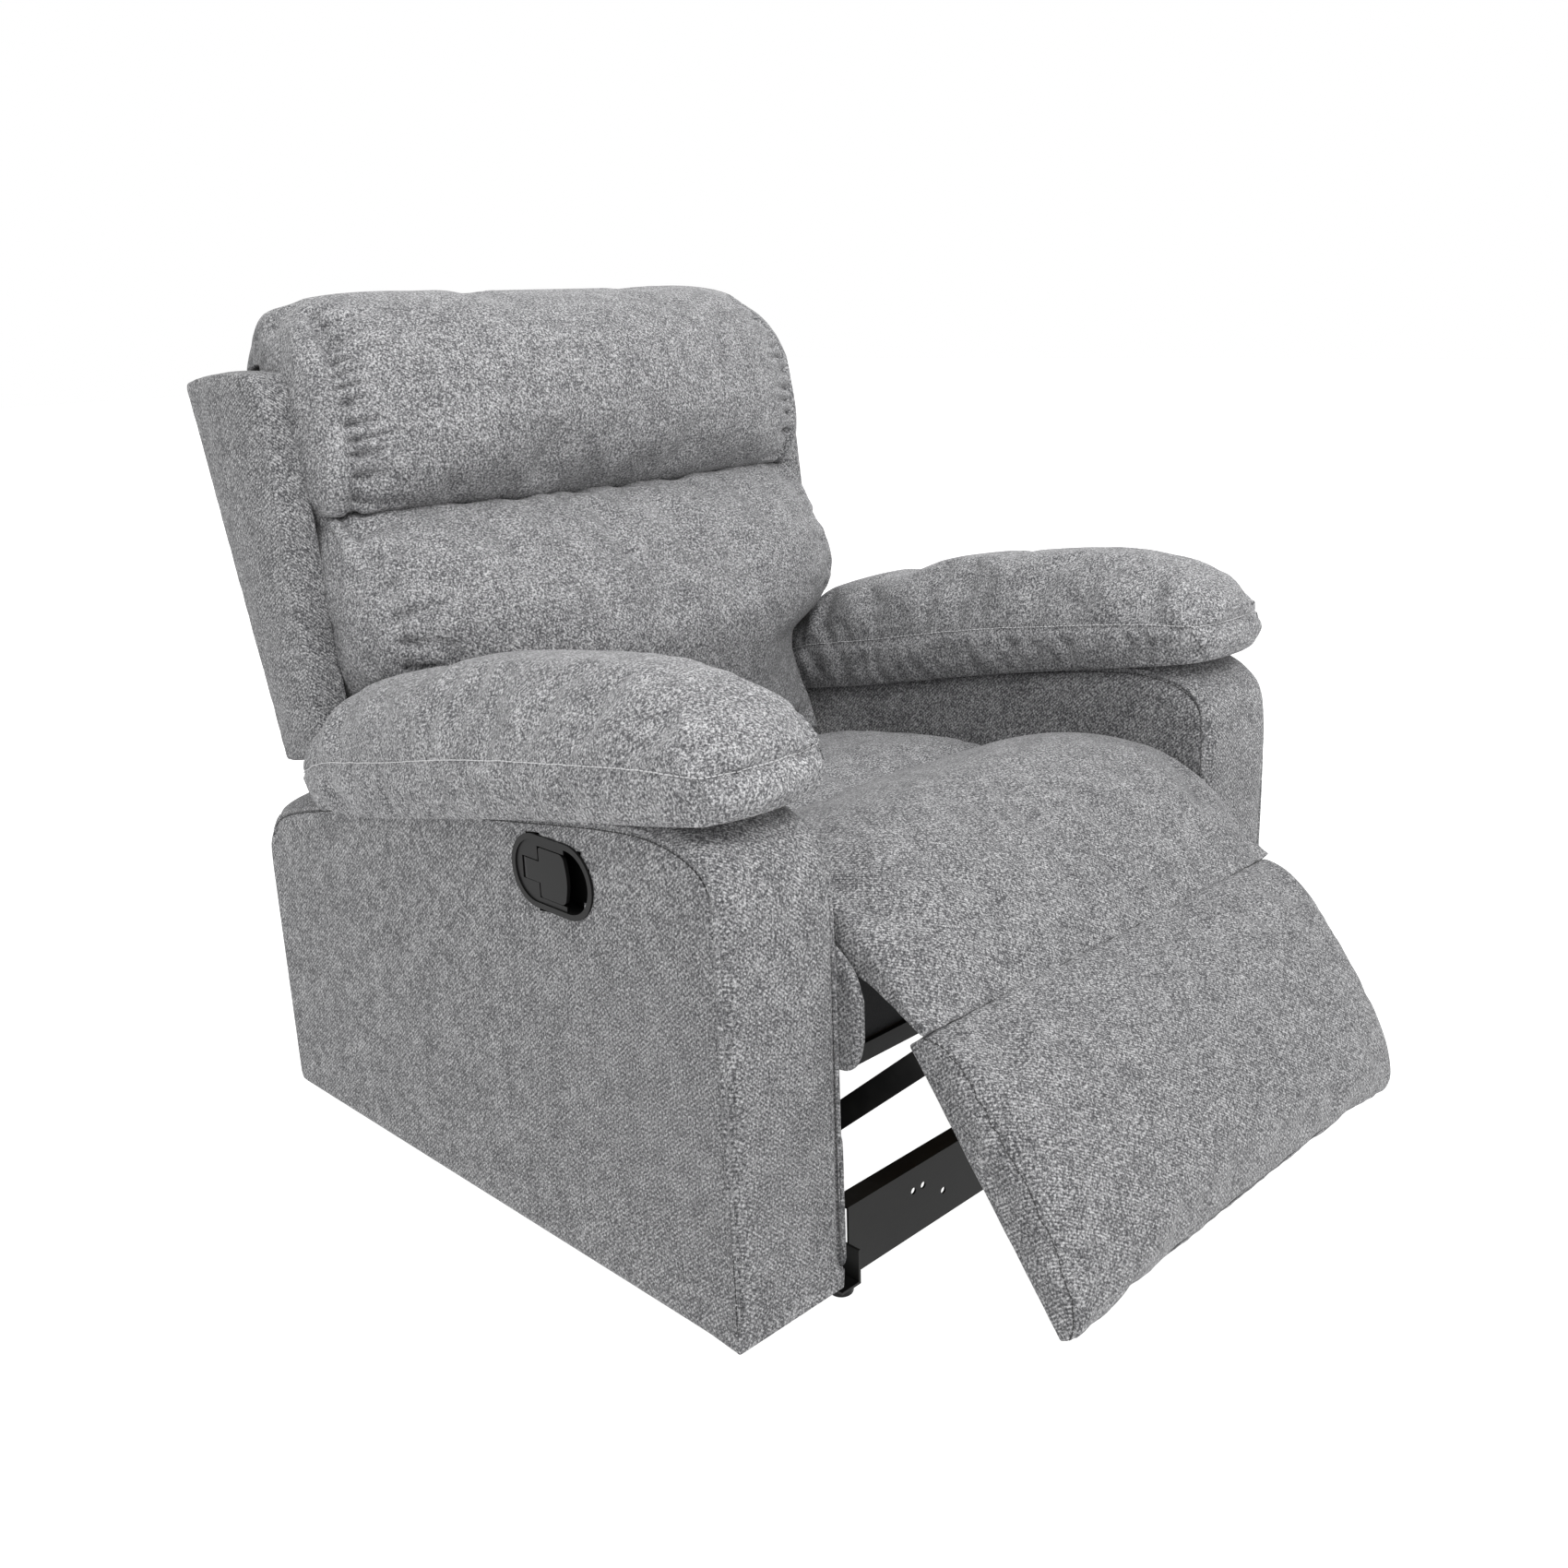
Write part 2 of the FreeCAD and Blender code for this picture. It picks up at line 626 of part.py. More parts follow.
def make_footrest():
    front = -footrest_thickness
    back_face = front - board_thickness
    length = footrest_length
    pad = footrest_solid([
        (0, front, 0), (0, 4, 8), (36, footrest_crown - 8, 40), (100, footrest_crown + 1, 150),
        (190, footrest_crown, 150), (262, footrest_crown - 14, 60), (length, -4, 22), (length, front, 0),
    ], -footrest_half, footrest_half)
    pieces["footrest_pad"] = pad
    board = footrest_solid([
        (board_inset, front, 0), (length - 2 * board_inset, front, 6),
        (length - 2 * board_inset, back_face, 6), (board_inset, back_face, 0),
    ], -footrest_half + board_inset, footrest_half - board_inset)
    pieces["footrest_board"] = board
    bar_y, bar_z = footrest_point(lift_down + 100, back_face - 10)
    pieces["footrest_cross_bar"] = rod_x(bar_y, bar_z, 6, -bracket_half, bracket_half)
    screws = []
    slope = math.radians(footrest_slope)
    inward = FreeCAD.Vector(0, math.sin(slope), -math.cos(slope))
    for down in (lift_down + 20, lift_down + 80, lift_down + 145):
        y, z = footrest_point(down, back_face - plate_thickness)
        screws.append(Part.makeCylinder(5, 2.5, point(y, z, bracket_half - 10), inward))
    pieces["footrest_screws"] = Part.Compound(screws + [mirrored(s) for s in screws])


def make_back():
    top = back_height
    inner = back_half - wing_width
    wing = back_solid([
        (0, 0, 30), (0, wing_foot_depth, 25), (wing_top, wing_top_depth, 30), (top, wing_top_depth / 2, 90),
        (top, 0, 30),
    ], inner, back_half)
    both_sides("back_wing", softened(wing, 12, inner, back_half))
    cover = back_solid([
        (0, 0, 0), (0, back_panel_thickness, 0), (top, back_panel_thickness, 0), (top, 0, 8),
    ], -inner, inner)
    pieces["back_rear_panel"] = cover
    front = back_frame_depth
    rear = back_panel_thickness
    half = back_frame_half
    low = -55.0
    frame_top = top - 8

    def rail(start, end):
        return back_solid([(start, rear, 0), (start, front, 0), (end, front, 0), (end, rear, 0)],
                          -half, half)

    frame = rail(low, frame_top).cut(rail(low + 50, frame_top - 50).common(
        block(-half + 30, half - 30, 0, 2 * back_foot_y, 0, 3 * back_foot_z)))
    pieces["back_frame"] = frame

    def place(side, along):
        y, z = back_point(along, front + wire_radius + 0.1)
        return point(y, z, side)

    springs = [sinuous_spring(x, low + 12, frame_top - 12, place) for x in (-200, -70, 70, 200)]
    pieces["back_springs"] = Part.Compound(springs)

    head = back_solid([
        (headrest_seam + 1, cushion_rear, 8), (headrest_seam + 1, 240, 30), (440, 268, 60),
        (540, 212, 60), (542, 30, 40), (top + 3, 16, 8), (top + 3, cushion_rear, 0),
    ], -cushion_half, cushion_half)
    pieces["headrest_cushion"] = softened(head, 7, -cushion_half, cushion_half)
    spread = headrest_seam - 1
    low_rear = -30.0
    lumbar_lower = back_solid([
        (-140, 198, 14), (35, 254, 60), (95, 284, 60), (lumbar_spread, 272, 0),
        (lumbar_spread, cushion_rear, 0), (low_rear, cushion_rear, 8), (-122, 158, 8),
    ], -seat_half, seat_half)
    lumbar_upper = back_solid([
        (lumbar_spread, cushion_rear, 0), (lumbar_spread, 272, 0), (215, 256, 30), (spread, 232, 20),
        (spread, cushion_rear, 8),
    ], -cushion_half, cushion_half)
    pieces["lumbar_cushion"] = lumbar_lower.fuse(lumbar_upper).removeSplitter()

    strap_inner = back_frame_half
    strap_outer = strap_inner + plate_thickness
    foot_y, foot_z = back_point(0, 45)
    strap = bar(pivot_y, pivot_z, foot_y, foot_z, 18, strap_inner, strap_outer)
    high_y, high_z = back_point(160, 45)
    strap = strap.fuse(bar(foot_y, foot_z, high_y, high_z, 18, strap_inner, strap_outer)).removeSplitter()
    strap = strap.cut(rod_x(pivot_y, pivot_z, pivot_radius + running_gap, strap_inner - 1, strap_outer + 1))
    bolts = []
    for along in (20, 90, 150):
        y, z = back_point(along, 45)
        strap = strap.cut(rod_x(y, z, bolt_radius, strap_inner - 1, strap_outer + 1))
        shank = rod_x(y, z, bolt_radius, strap_inner, strap_outer)
        head_part = rod_x(y, z, 1.8 * bolt_radius, strap_outer, strap_outer + 2.5)
        bolts.append(shank.fuse(head_part).removeSplitter())
    both_sides("back_bracket", strap)
    pieces["back_bolts"] = Part.Compound(bolts + [mirrored(b) for b in bolts])


make_base()
make_arms()
make_handle()
make_seat()
make_linkage()
make_footrest()
make_back()

rear_y = pieces["headrest_cushion"].optimalBoundingBox().YMax
rear_y = max(rear_y, pieces["back_rear_panel"].optimalBoundingBox().YMax)
rear_y = max(rear_y, pieces["back_wing_left"].optimalBoundingBox().YMax)
front_y = pieces["footrest_pad"].optimalBoundingBox().YMin
centre_y = (rear_y + front_y) / 2

os.makedirs("parts", exist_ok=True)
for name, shape in pieces.items():
    shape.translate(point(-centre_y, 0))
    shape.exportStep("parts/" + name + ".step")
print(len(pieces), "pieces, centre_y", round(centre_y, 3))
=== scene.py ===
import bmesh
import bpy
import json
import math
from mathutils import Matrix, Vector
from mathutils.bvhtree import BVHTree
from mathutils.kdtree import KDTree


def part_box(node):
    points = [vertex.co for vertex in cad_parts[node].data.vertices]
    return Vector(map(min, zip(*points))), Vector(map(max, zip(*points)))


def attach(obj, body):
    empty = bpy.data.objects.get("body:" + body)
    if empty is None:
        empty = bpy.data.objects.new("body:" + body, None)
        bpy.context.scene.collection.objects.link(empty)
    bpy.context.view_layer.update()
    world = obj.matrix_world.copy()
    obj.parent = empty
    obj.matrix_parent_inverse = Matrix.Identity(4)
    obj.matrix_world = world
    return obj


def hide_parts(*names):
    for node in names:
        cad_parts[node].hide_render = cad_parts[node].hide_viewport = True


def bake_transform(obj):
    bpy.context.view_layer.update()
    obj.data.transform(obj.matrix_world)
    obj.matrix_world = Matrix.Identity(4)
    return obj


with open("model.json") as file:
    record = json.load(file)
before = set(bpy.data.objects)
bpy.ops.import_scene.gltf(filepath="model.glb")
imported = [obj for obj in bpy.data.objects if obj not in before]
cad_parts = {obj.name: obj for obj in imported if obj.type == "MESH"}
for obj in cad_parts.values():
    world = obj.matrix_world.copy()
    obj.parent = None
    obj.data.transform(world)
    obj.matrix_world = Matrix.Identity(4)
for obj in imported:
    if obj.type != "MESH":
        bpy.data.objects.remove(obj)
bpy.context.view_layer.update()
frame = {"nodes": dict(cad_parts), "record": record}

# Sizes below are in millimetres, measured from the arms' front faces; point() turns them into metres.
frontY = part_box("arm_cover_left")[0][1]


def point(x, y, z):
    return Vector((x / 1000, frontY + y / 1000, z / 1000))


# ---- camera, floor and light
camera = {"x": -1320.9, "y": -944.8, "z": 973.6, "yaw": 44.7, "pitch": -17.1, "roll": -1.8, "lens": 35.82}
studio = {"sky": 1.0, "key": 84, "fill": 2, "rim": 34, "floorGlow": 1.0}


def makeCamera():
    yaw = math.radians(camera["yaw"])
    pitch = math.radians(camera["pitch"])
    roll = math.radians(camera["roll"])
    look = Vector((math.sin(yaw) * math.cos(pitch), math.cos(yaw) * math.cos(pitch), math.sin(pitch)))
    right = look.cross(Vector((0, 0, 1))).normalized()
    up = right.cross(look)
    side = right * math.cos(roll) + up * math.sin(roll)
    top = up * math.cos(roll) - right * math.sin(roll)
    data = bpy.data.cameras.new("studioCamera")
    data.lens = camera["lens"]
    data.sensor_width = 36
    data.clip_end = 60
    holder = bpy.data.objects.new("studioCamera", data)
    bpy.context.collection.objects.link(holder)
    turn = Matrix((side, top, -look)).transposed().to_4x4()
    holder.matrix_world = Matrix.Translation(point(camera["x"], camera["y"], camera["z"])) @ turn
    bpy.context.scene.camera = holder


def makeLight(name, place, size, power, aim):
    data = bpy.data.lights.new(name, "AREA")
    data.shape = "DISK"
    data.size = size
    data.energy = power
    lamp = bpy.data.objects.new(name, data)
    bpy.context.collection.objects.link(lamp)
    direction = Vector(aim) - Vector(place)
    turn = direction.to_track_quat("-Z", "Y").to_matrix().to_4x4()
    lamp.matrix_world = Matrix.Translation(Vector(place)) @ turn


def makeStudio():
    world = bpy.data.worlds.new("studio")
    bpy.context.scene.world = world
    bpy.context.scene.view_settings.view_transform = "Standard"
    world.use_nodes = True
    world.node_tree.nodes["Background"].inputs["Color"].default_value = (1, 1, 1, 1)
    world.node_tree.nodes["Background"].inputs["Strength"].default_value = studio["sky"]
    makeLight("keyLight", (-0.6, -1.9, 3.0), 1.8, studio["key"], (0, 0, 0.45))
    makeLight("fillLight", (-3.0, -0.2, 1.6), 2.2, studio["fill"], (0, 0, 0.5))
    makeLight("rimLight", (1.6, 2.4, 2.4), 2.0, studio["rim"], (0, 0, 0.6))
    bpy.ops.mesh.primitive_plane_add(size=40, location=(0, 0, -0.0005))
    floor = bpy.context.object
    floor.name = "studioFloor"
    finish = bpy.data.materials.new("paleFloor")
    finish.use_nodes = True
    shader = finish.node_tree.nodes["Principled BSDF"]
    shader.inputs["Base Color"].default_value = (0.3, 0.3, 0.3, 1)
    shader.inputs["Roughness"].default_value = 0.9
    shader.inputs["Emission Color"].default_value = (1, 1, 1, 1)
    shader.inputs["Emission Strength"].default_value = studio["floorGlow"]
    floor.data.materials.append(finish)


# ---- shader helpers
class Wire:
    # one output socket; arithmetic on it adds Math nodes
    def __init__(self, maker, socket):
        self.maker = maker
        self.socket = socket

    def mathNode(self, operation, first, second):
        return self.maker.add("ShaderNodeMath", {"operation": operation}, {0: first, 1: second})

    def __add__(self, other):
        return self.mathNode("ADD", self, other)

    def __radd__(self, other):
        return self.mathNode("ADD", other, self)

    def __sub__(self, other):
        return self.mathNode("SUBTRACT", self, other)

    def __rsub__(self, other):
        return self.mathNode("SUBTRACT", other, self)

    def __mul__(self, other):
        return self.mathNode("MULTIPLY", self, other)

    def __rmul__(self, other):
        return self.mathNode("MULTIPLY", other, self)


class Shader:
    # a material whose nodes all come from add()
    def __init__(self, name):
        self.material = bpy.data.materials.new(name)
        self.material.use_nodes = True
        self.nodes = self.material.node_tree.nodes
        self.links = self.material.node_tree.links
        self.surface = self.nodes["Principled BSDF"]

    def add(self, kind, settings, values, output=0):
        node = self.nodes.new(kind)
        for name, value in settings.items():
            if name == "stops":
                while len(node.color_ramp.elements) < len(value):
                    node.color_ramp.elements.new(0.5)
                for stop, (place, grey) in zip(node.color_ramp.elements, value):
                    stop.position = place
                    stop.color = (grey, grey, grey, 1)
            else:
                setattr(node, name, value)
        for name, value in values.items():
            self.feed(node.inputs[name], value)
        return Wire(self, node.outputs[output])

    def feed(self, socket, value):
        if isinstance(value, Wire):
            self.links.new(value.socket, socket)
        else:
            socket.default_value = value

    def place(self):
        return self.add("ShaderNodeTexCoord", {}, {}, "Object")

    def noise(self, where, scale, detail=2.0, rough=0.5):
        return self.add("ShaderNodeTexNoise", {}, {"Vector": where, "Scale": scale, "Detail": detail,
                                                   "Roughness": rough})

    def ramp(self, value, stops):
        return self.add("ShaderNodeValToRGB", {"stops": stops}, {"Fac": value})

    def mixColour(self, factor, first, second):
        return self.add("ShaderNodeMix", {"data_type": "RGBA"}, {0: factor, 6: first, 7: second}, 2)

    def bump(self, height, strength, distance):
        return self.add("ShaderNodeBump", {}, {"Height": height, "Strength": strength, "Distance": distance})

    def finish(self, **sockets):
        for name, value in sockets.items():
            self.feed(self.surface.inputs[name.replace("_", " ")], value)
        return self.material


marl = {"dark": (0.050, 0.050, 0.054, 1), "middle": (0.175, 0.175, 0.180, 1), "light": (0.50, 0.50, 0.505, 1),
        "tuft": 420.0, "thread": 1000.0, "twillPitch": 0.0047, "bump": 0.0009}


def makeMarl(name, paintedLightTint=1.0, twillStrength=0.8):
    cloth = Shader(name)
    where = cloth.place()
    warp = cloth.add("ShaderNodeMapping", {}, {"Vector": where, "Scale": (1.0, 1.0, 0.85)})
    tufts = cloth.noise(warp, marl["tuft"], 3.0, 0.62)
    threads = cloth.noise(where, marl["thread"], 2.0, 0.6)
    clouds = cloth.noise(where, 38.0, 3.0, 0.55)
    drift = cloth.noise(where, 90.0, 2.0, 0.5)
    # diagonal twill lines, bent a little so that they look woven
    split = cloth.add("ShaderNodeSeparateXYZ", {}, {0: where})
    alongX = split
    alongY = Wire(cloth, split.socket.node.outputs[1])
    alongZ = Wire(cloth, split.socket.node.outputs[2])
    phase = (alongX + alongY * 0.92 + alongZ * 1.0 + drift * 0.0030) * (2 * math.pi / marl["twillPitch"])
    wave = cloth.add("ShaderNodeMath", {"operation": "SINE"}, {0: phase})
    twill = wave * 0.5 + 0.5
    mottle = cloth.ramp(tufts + (threads - 0.5) * 0.55 + (clouds - 0.5) * 0.16,
                        [(0.34, 0.0), (0.47, 0.42), (0.56, 0.68), (0.72, 1.0)])
    low = cloth.mixColour(cloth.ramp(mottle, [(0.0, 0.0), (0.62, 1.0)]), marl["dark"], marl["middle"])
    colour = cloth.mixColour(cloth.ramp(mottle, [(0.5, 0.0), (1.0, 1.0)]), low, marl["light"])
    lines = cloth.ramp(twill, [(0.0, 1.0 - 0.5 * twillStrength), (1.0, 1.0)])
    shade = cloth.add("ShaderNodeMix", {"data_type": "RGBA", "blend_type": "MULTIPLY"},
                      {0: 1.0, 6: colour, 7: lines}, 2)
    # painted light: a tint above 1 lightens this copy of the fabric as if more light fell on it
    shade = cloth.add("ShaderNodeMix", {"data_type": "RGBA", "blend_type": "MULTIPLY"},
                      {0: 1.0, 6: shade, 7: (paintedLightTint, paintedLightTint, paintedLightTint, 1)}, 2)
    height = tufts * 0.55 + threads * 0.35 + twill * (0.22 * twillStrength)
    return cloth.finish(Base_Color=shade, Roughness=0.92, Sheen_Weight=0.12, Sheen_Roughness=0.5,
                        Specular_IOR_Level=0.18, Normal=cloth.bump(height, 0.62, marl["bump"]))


def makeThread(name, grey):
    thread = Shader(name)
    where = thread.place()
    strands = thread.noise(where, 1500.0, 2.0, 0.5)
    tone = thread.mixColour(thread.ramp(strands, [(0.3, 0.0), (0.7, 1.0)]),
                            (grey * 0.7, grey * 0.7, grey * 0.71, 1), (grey, grey, grey * 1.01, 1))
    return thread.finish(Base_Color=tone, Roughness=0.8, Normal=thread.bump(strands, 0.4, 0.0004))


def makeBlackPlastic():
    plastic = Shader("blackPlastic")
    where = plastic.place()
    grain = plastic.noise(where, 900.0, 2.0, 0.5)
    wear = plastic.noise(where, 24.0, 3.0, 0.6)
    tone = plastic.mixColour(wear, (0.004, 0.004, 0.004, 1), (0.009, 0.009, 0.009, 1))
    return plastic.finish(Base_Color=tone, Roughness=wear * 0.14 + 0.3, Specular_IOR_Level=0.16,
                          Normal=plastic.bump(grain, 0.12, 0.0002))


def makeBlackSteel():
    steel = Shader("blackSteel")
    where = steel.place()
    peel = steel.noise(where, 260.0, 3.0, 0.5)
    dust = steel.noise(where, 14.0, 4.0, 0.65)
    tone = steel.mixColour(steel.ramp(dust, [(0.4, 0.0), (0.75, 1.0)]), (0.004, 0.004, 0.004, 1),
                           (0.013, 0.013, 0.012, 1))
    return steel.finish(Base_Color=tone, Roughness=dust * 0.25 + 0.3, Specular_IOR_Level=0.22,
                        Normal=steel.bump(peel, 0.16, 0.0004))


def makeZincSteel():
    zinc = Shader("zincSteel")
    where = zinc.place()
    spangle = zinc.add("ShaderNodeTexVoronoi", {}, {"Vector": where, "Scale": 160.0}, "Color")
    blotch = zinc.noise(where, 30.0, 3.0, 0.5)
    tone = zinc.mixColour(blotch, (0.42, 0.42, 0.43, 1), (0.62, 0.62, 0.64, 1))
    return zinc.finish(Base_Color=tone, Metallic=1.0, Roughness=blotch * 0.2 + 0.3,
                       Normal=zinc.bump(spangle, 0.1, 0.0002))


def makeBoard():
    board = Shader("frameBoard")
    where = board.place()
    stretched = board.add("ShaderNodeMapping", {}, {"Vector": where, "Scale": (1.0, 9.0, 9.0)})
    grain = board.noise(stretched, 14.0, 5.0, 0.65)
    pores = board.noise(stretched, 120.0, 2.0, 0.5)
    tone = board.mixColour(board.ramp(grain, [(0.35, 0.0), (0.65, 1.0)]), (0.40, 0.25, 0.13, 1),
                           (0.66, 0.48, 0.29, 1))
    return board.finish(Base_Color=tone, Roughness=pores * 0.2 + 0.6, Normal=board.bump(pores, 0.3, 0.0006))


def makeDustCloth():
    cloth = Shader("dustCloth")
    where = cloth.place()
    fibres = cloth.noise(where, 700.0, 3.0, 0.7)
    dimples = cloth.add("ShaderNodeTexVoronoi", {}, {"Vector": where, "Scale": 420.0}, "Distance")
    tone = cloth.mixColour(fibres, (0.010, 0.010, 0.011, 1), (0.034, 0.034, 0.036, 1))
    return cloth.finish(Base_Color=tone, Roughness=0.95, Normal=cloth.bump(dimples, 0.5, 0.0006))


# ---- soft shapes: a box grid whose faces are the sewn panels
class BoxGrid:
    # vertices over a box's surface, in steps along a, b and c
    def __init__(self, steps):
        self.steps = steps
        self.index = {}
        self.keys = []
        self.faces = []
        for axis in range(3):
            u = (axis + 1) % 3
            v = (axis + 2) % 3
            for side in (0, steps[axis]):
                for i in range(steps[u]):
                    for j in range(steps[v]):
                        ring = []
                        for di, dj in ((0, 0), (1, 0), (1, 1), (0, 1)):
                            key = [0, 0, 0]
                            key[axis] = side
                            key[u] = i + di
                            key[v] = j + dj
                            ring.append(self.vertex(tuple(key)))
                        self.faces.append(ring if side else ring[::-1])

    def vertex(self, key):
        if key not in self.index:
            self.index[key] = len(self.keys)
            self.keys.append(key)
        return self.index[key]

    def spot(self, piece, a, b, c):
        # where the grid vertex lies now
        return piece.data.vertices[self.index[(a, b, c)]].co.copy()

    def mesh(self, name, shape):
        # shape(a, b, c) gives each vertex's place in millimetres, with a, b and c from 0 to 1
        vertices = []
        for key in self.keys:
            a, b, c = (key[i] / self.steps[i] for i in range(3))
            vertices.append(point(*shape(a, b, c)))
        mesh = bpy.data.meshes.new(name)
        mesh.from_pydata(vertices, [], self.faces)
        for face in mesh.polygons:
            face.use_smooth = True
        piece = bpy.data.objects.new(name, mesh)
        bpy.context.collection.objects.link(piece)
        return piece


def smoothCurve(stations):
    # stations of (t, y, z) joined by a smooth cubic; returns curve(t)
    def curve(t):
        last = len(stations) - 2
        i = 0
        while i < last and t > stations[i + 1][0]:
            i += 1
        first = stations[max(i - 1, 0)]
        start = stations[i]
        end = stations[i + 1]
        after = stations[min(i + 2, len(stations) - 1)]
        span = end[0] - start[0]
        u = min(max((t - start[0]) / span, 0), 1)
        result = []
        for k in (1, 2):
            slopeIn = (end[k] - first[k]) / max(end[0] - first[0], 1e-6) * span
            slopeOut = (after[k] - start[k]) / max(after[0] - start[0], 1e-6) * span
            h = u * u
            g = h * u
            result.append((2 * g - 3 * h + 1) * start[k] + (g - 2 * h + u) * slopeIn
                          + (3 * h - 2 * g) * end[k] + (g - h) * slopeOut)
        return result
    return curve


puffFrames = 20
puffs = {
    "pillow": {"pressure": 2.2, "ease": -0.05, "firm": 8, "bend": 0.25, "cap": 0.02},
    "headrest": {"pressure": 2.6, "ease": -0.02, "firm": 10, "bend": 1.2, "cap": 0.026},
    "lumbar": {"pressure": 2.2, "ease": -0.03, "firm": 8, "bend": 0.3, "cap": 0.022},
    "seat": {"pressure": 1.6, "ease": -0.02, "firm": 9, "bend": 0.3, "cap": 0.012},
    "footrest": {"pressure": 1.4, "ease": -0.02, "firm": 9, "bend": 0.3, "cap": 0.01},
    "wing": {"pressure": 1.2, "ease": -0.008, "firm": 12, "bend": 0.5, "cap": 0.005},
}


def inflate(piece, held, puff):
    # blow the panels out between their held seams, with the travel of every point capped
    before = [v.co.copy() for v in piece.data.vertices]
    group = piece.vertex_groups.new(name="seams")
    for number, weight in held.items():
        group.add([number], weight, "REPLACE")
    cloth = piece.modifiers.new("cloth", "CLOTH")
    settings = cloth.settings
    settings.vertex_group_mass = "seams"
    settings.effector_weights.gravity = 0
    settings.use_pressure = True
    settings.uniform_pressure_force = puff["pressure"]
    settings.shrink_min = puff["ease"]
    settings.tension_stiffness = 18
    settings.compression_stiffness = puff["firm"]
    settings.shear_stiffness = 8
    settings.bending_stiffness = puff["bend"]
    settings.quality = 4
    settings.pin_stiffness = 1
    cloth.point_cache.frame_start = 1
    cloth.point_cache.frame_end = puffFrames
    scene = bpy.context.scene
    for number in range(1, puffFrames + 1):
        scene.frame_set(number)
    graph = bpy.context.evaluated_depsgraph_get()
    result = piece.evaluated_get(graph).to_mesh()
    after = [v.co.copy() for v in result.vertices]
    piece.evaluated_get(graph).to_mesh_clear()
    piece.modifiers.remove(cloth)
    scene.frame_set(1)
    for vertex, start, end in zip(piece.data.vertices, before, after):
        move = end - start
        reach = move.length
        if reach > puff["cap"]:
            over = reach - puff["cap"]
            move *= (puff["cap"] + 0.25 * over / (1 + 20 * over)) / reach
        vertex.co = start + move
    piece.data.update()


def refine(piece, levels):
    modifier = piece.modifiers.new("smooth", "SUBSURF")
    modifier.levels = levels
    modifier.render_levels = levels
    bake(piece)


def bake(piece):
    graph = bpy.context.evaluated_depsgraph_get()
    mesh = bpy.data.meshes.new_from_object(piece.evaluated_get(graph))
    piece.modifiers.clear()
    piece.data = mesh
    for face in mesh.polygons:
        face.use_smooth = True


def dress(piece, material, node, body):
    piece.data.materials.clear()
    piece.data.materials.append(material)
    if node:
        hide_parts(*node)
    if body:
        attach(piece, body)
    return piece


# ---- seams: stitches and welts follow a path of points
def stitchTree():
    tree = bpy.data.node_groups.new("stitchRow", "GeometryNodeTree")
    sockets = tree.interface
    sockets.new_socket("Geometry", in_out="INPUT", socket_type="NodeSocketGeometry")
    for name in ("Pitch", "Length", "Radius"):
        sockets.new_socket(name, in_out="INPUT", socket_type="NodeSocketFloat")
    sockets.new_socket("Thread", in_out="INPUT", socket_type="NodeSocketMaterial")
    sockets.new_socket("Geometry", in_out="OUTPUT", socket_type="NodeSocketGeometry")
    make = tree.nodes.new
    join = tree.links.new
    start = make("NodeGroupInput")
    end = make("NodeGroupOutput")
    curve = make("GeometryNodeMeshToCurve")
    spread = make("GeometryNodeResampleCurve")
    spread.mode = "LENGTH"
    loop = make("GeometryNodeMeshCylinder")
    loop.fill_type = "TRIANGLE_FAN"
    loop.inputs["Vertices"].default_value = 6
    aim = make("FunctionNodeAlignRotationToVector")
    aim.axis = "Z"
    tangent = make("GeometryNodeInputTangent")
    place = make("GeometryNodeInstanceOnPoints")
    real = make("GeometryNodeRealizeInstances")
    paint = make("GeometryNodeSetMaterial")
    join(start.outputs["Geometry"], curve.inputs["Mesh"])
    join(curve.outputs[0], spread.inputs["Curve"])
    join(start.outputs["Pitch"], spread.inputs["Length"])
    join(spread.outputs[0], place.inputs["Points"])
    join(start.outputs["Radius"], loop.inputs["Radius"])
    join(start.outputs["Length"], loop.inputs["Depth"])
    join(loop.outputs["Mesh"], place.inputs["Instance"])
    join(tangent.outputs[0], aim.inputs["Vector"])
    join(aim.outputs[0], place.inputs["Rotation"])
    join(place.outputs[0], real.inputs[0])
    join(real.outputs[0], paint.inputs["Geometry"])
    join(start.outputs["Thread"], paint.inputs["Material"])
    join(paint.outputs[0], end.inputs[0])
    return tree


stitch = {"pitch": 0.0062, "length": 0.0046, "radius": 0.0006}


def sewPath(name, paths, tree, thread, body):
    # paths are lists of points in metres; each becomes a row of stitches
    vertices = []
    edges = []
    for path in paths:
        first = len(vertices)
        vertices += path
        edges += [(first + i, first + i + 1) for i in range(len(path) - 1)]
    mesh = bpy.data.meshes.new(name)
    mesh.from_pydata(vertices, edges, [])
    row = bpy.data.objects.new(name, mesh)
    bpy.context.collection.objects.link(row)
    modifier = row.modifiers.new("stitches", "NODES")
    modifier.node_group = tree
    values = {"Pitch": stitch["pitch"], "Length": stitch["length"], "Radius": stitch["radius"],
              "Thread": thread}
    for item in tree.interface.items_tree:
        if item.in_out == "INPUT" and item.name in values:
            modifier[item.identifier] = values[item.name]
    bake(row)
    if body:
        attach(row, body)
    return row


def weltPath(name, path, radius, cloth, body):
    # a covered cord sewn in along a path of points in metres
    line = bpy.data.curves.new(name, "CURVE")
    line.dimensions = "3D"
    line.bevel_depth = radius
    line.bevel_resolution = 3
    line.use_fill_caps = True
    run = line.splines.new("POLY")
    run.points.add(len(path) - 1)
    for knot, place in zip(run.points, path):
        knot.co = (*place, 1)
    cord = bpy.data.objects.new(name, line)
    bpy.context.collection.objects.link(cord)
    mesh = bpy.data.meshes.new_from_object(cord.evaluated_get(bpy.context.evaluated_depsgraph_get()))
    bpy.data.objects.remove(cord)
    welt = bpy.data.objects.new(name, mesh)
    bpy.context.collection.objects.link(welt)
    return dress(welt, cloth, None, body)


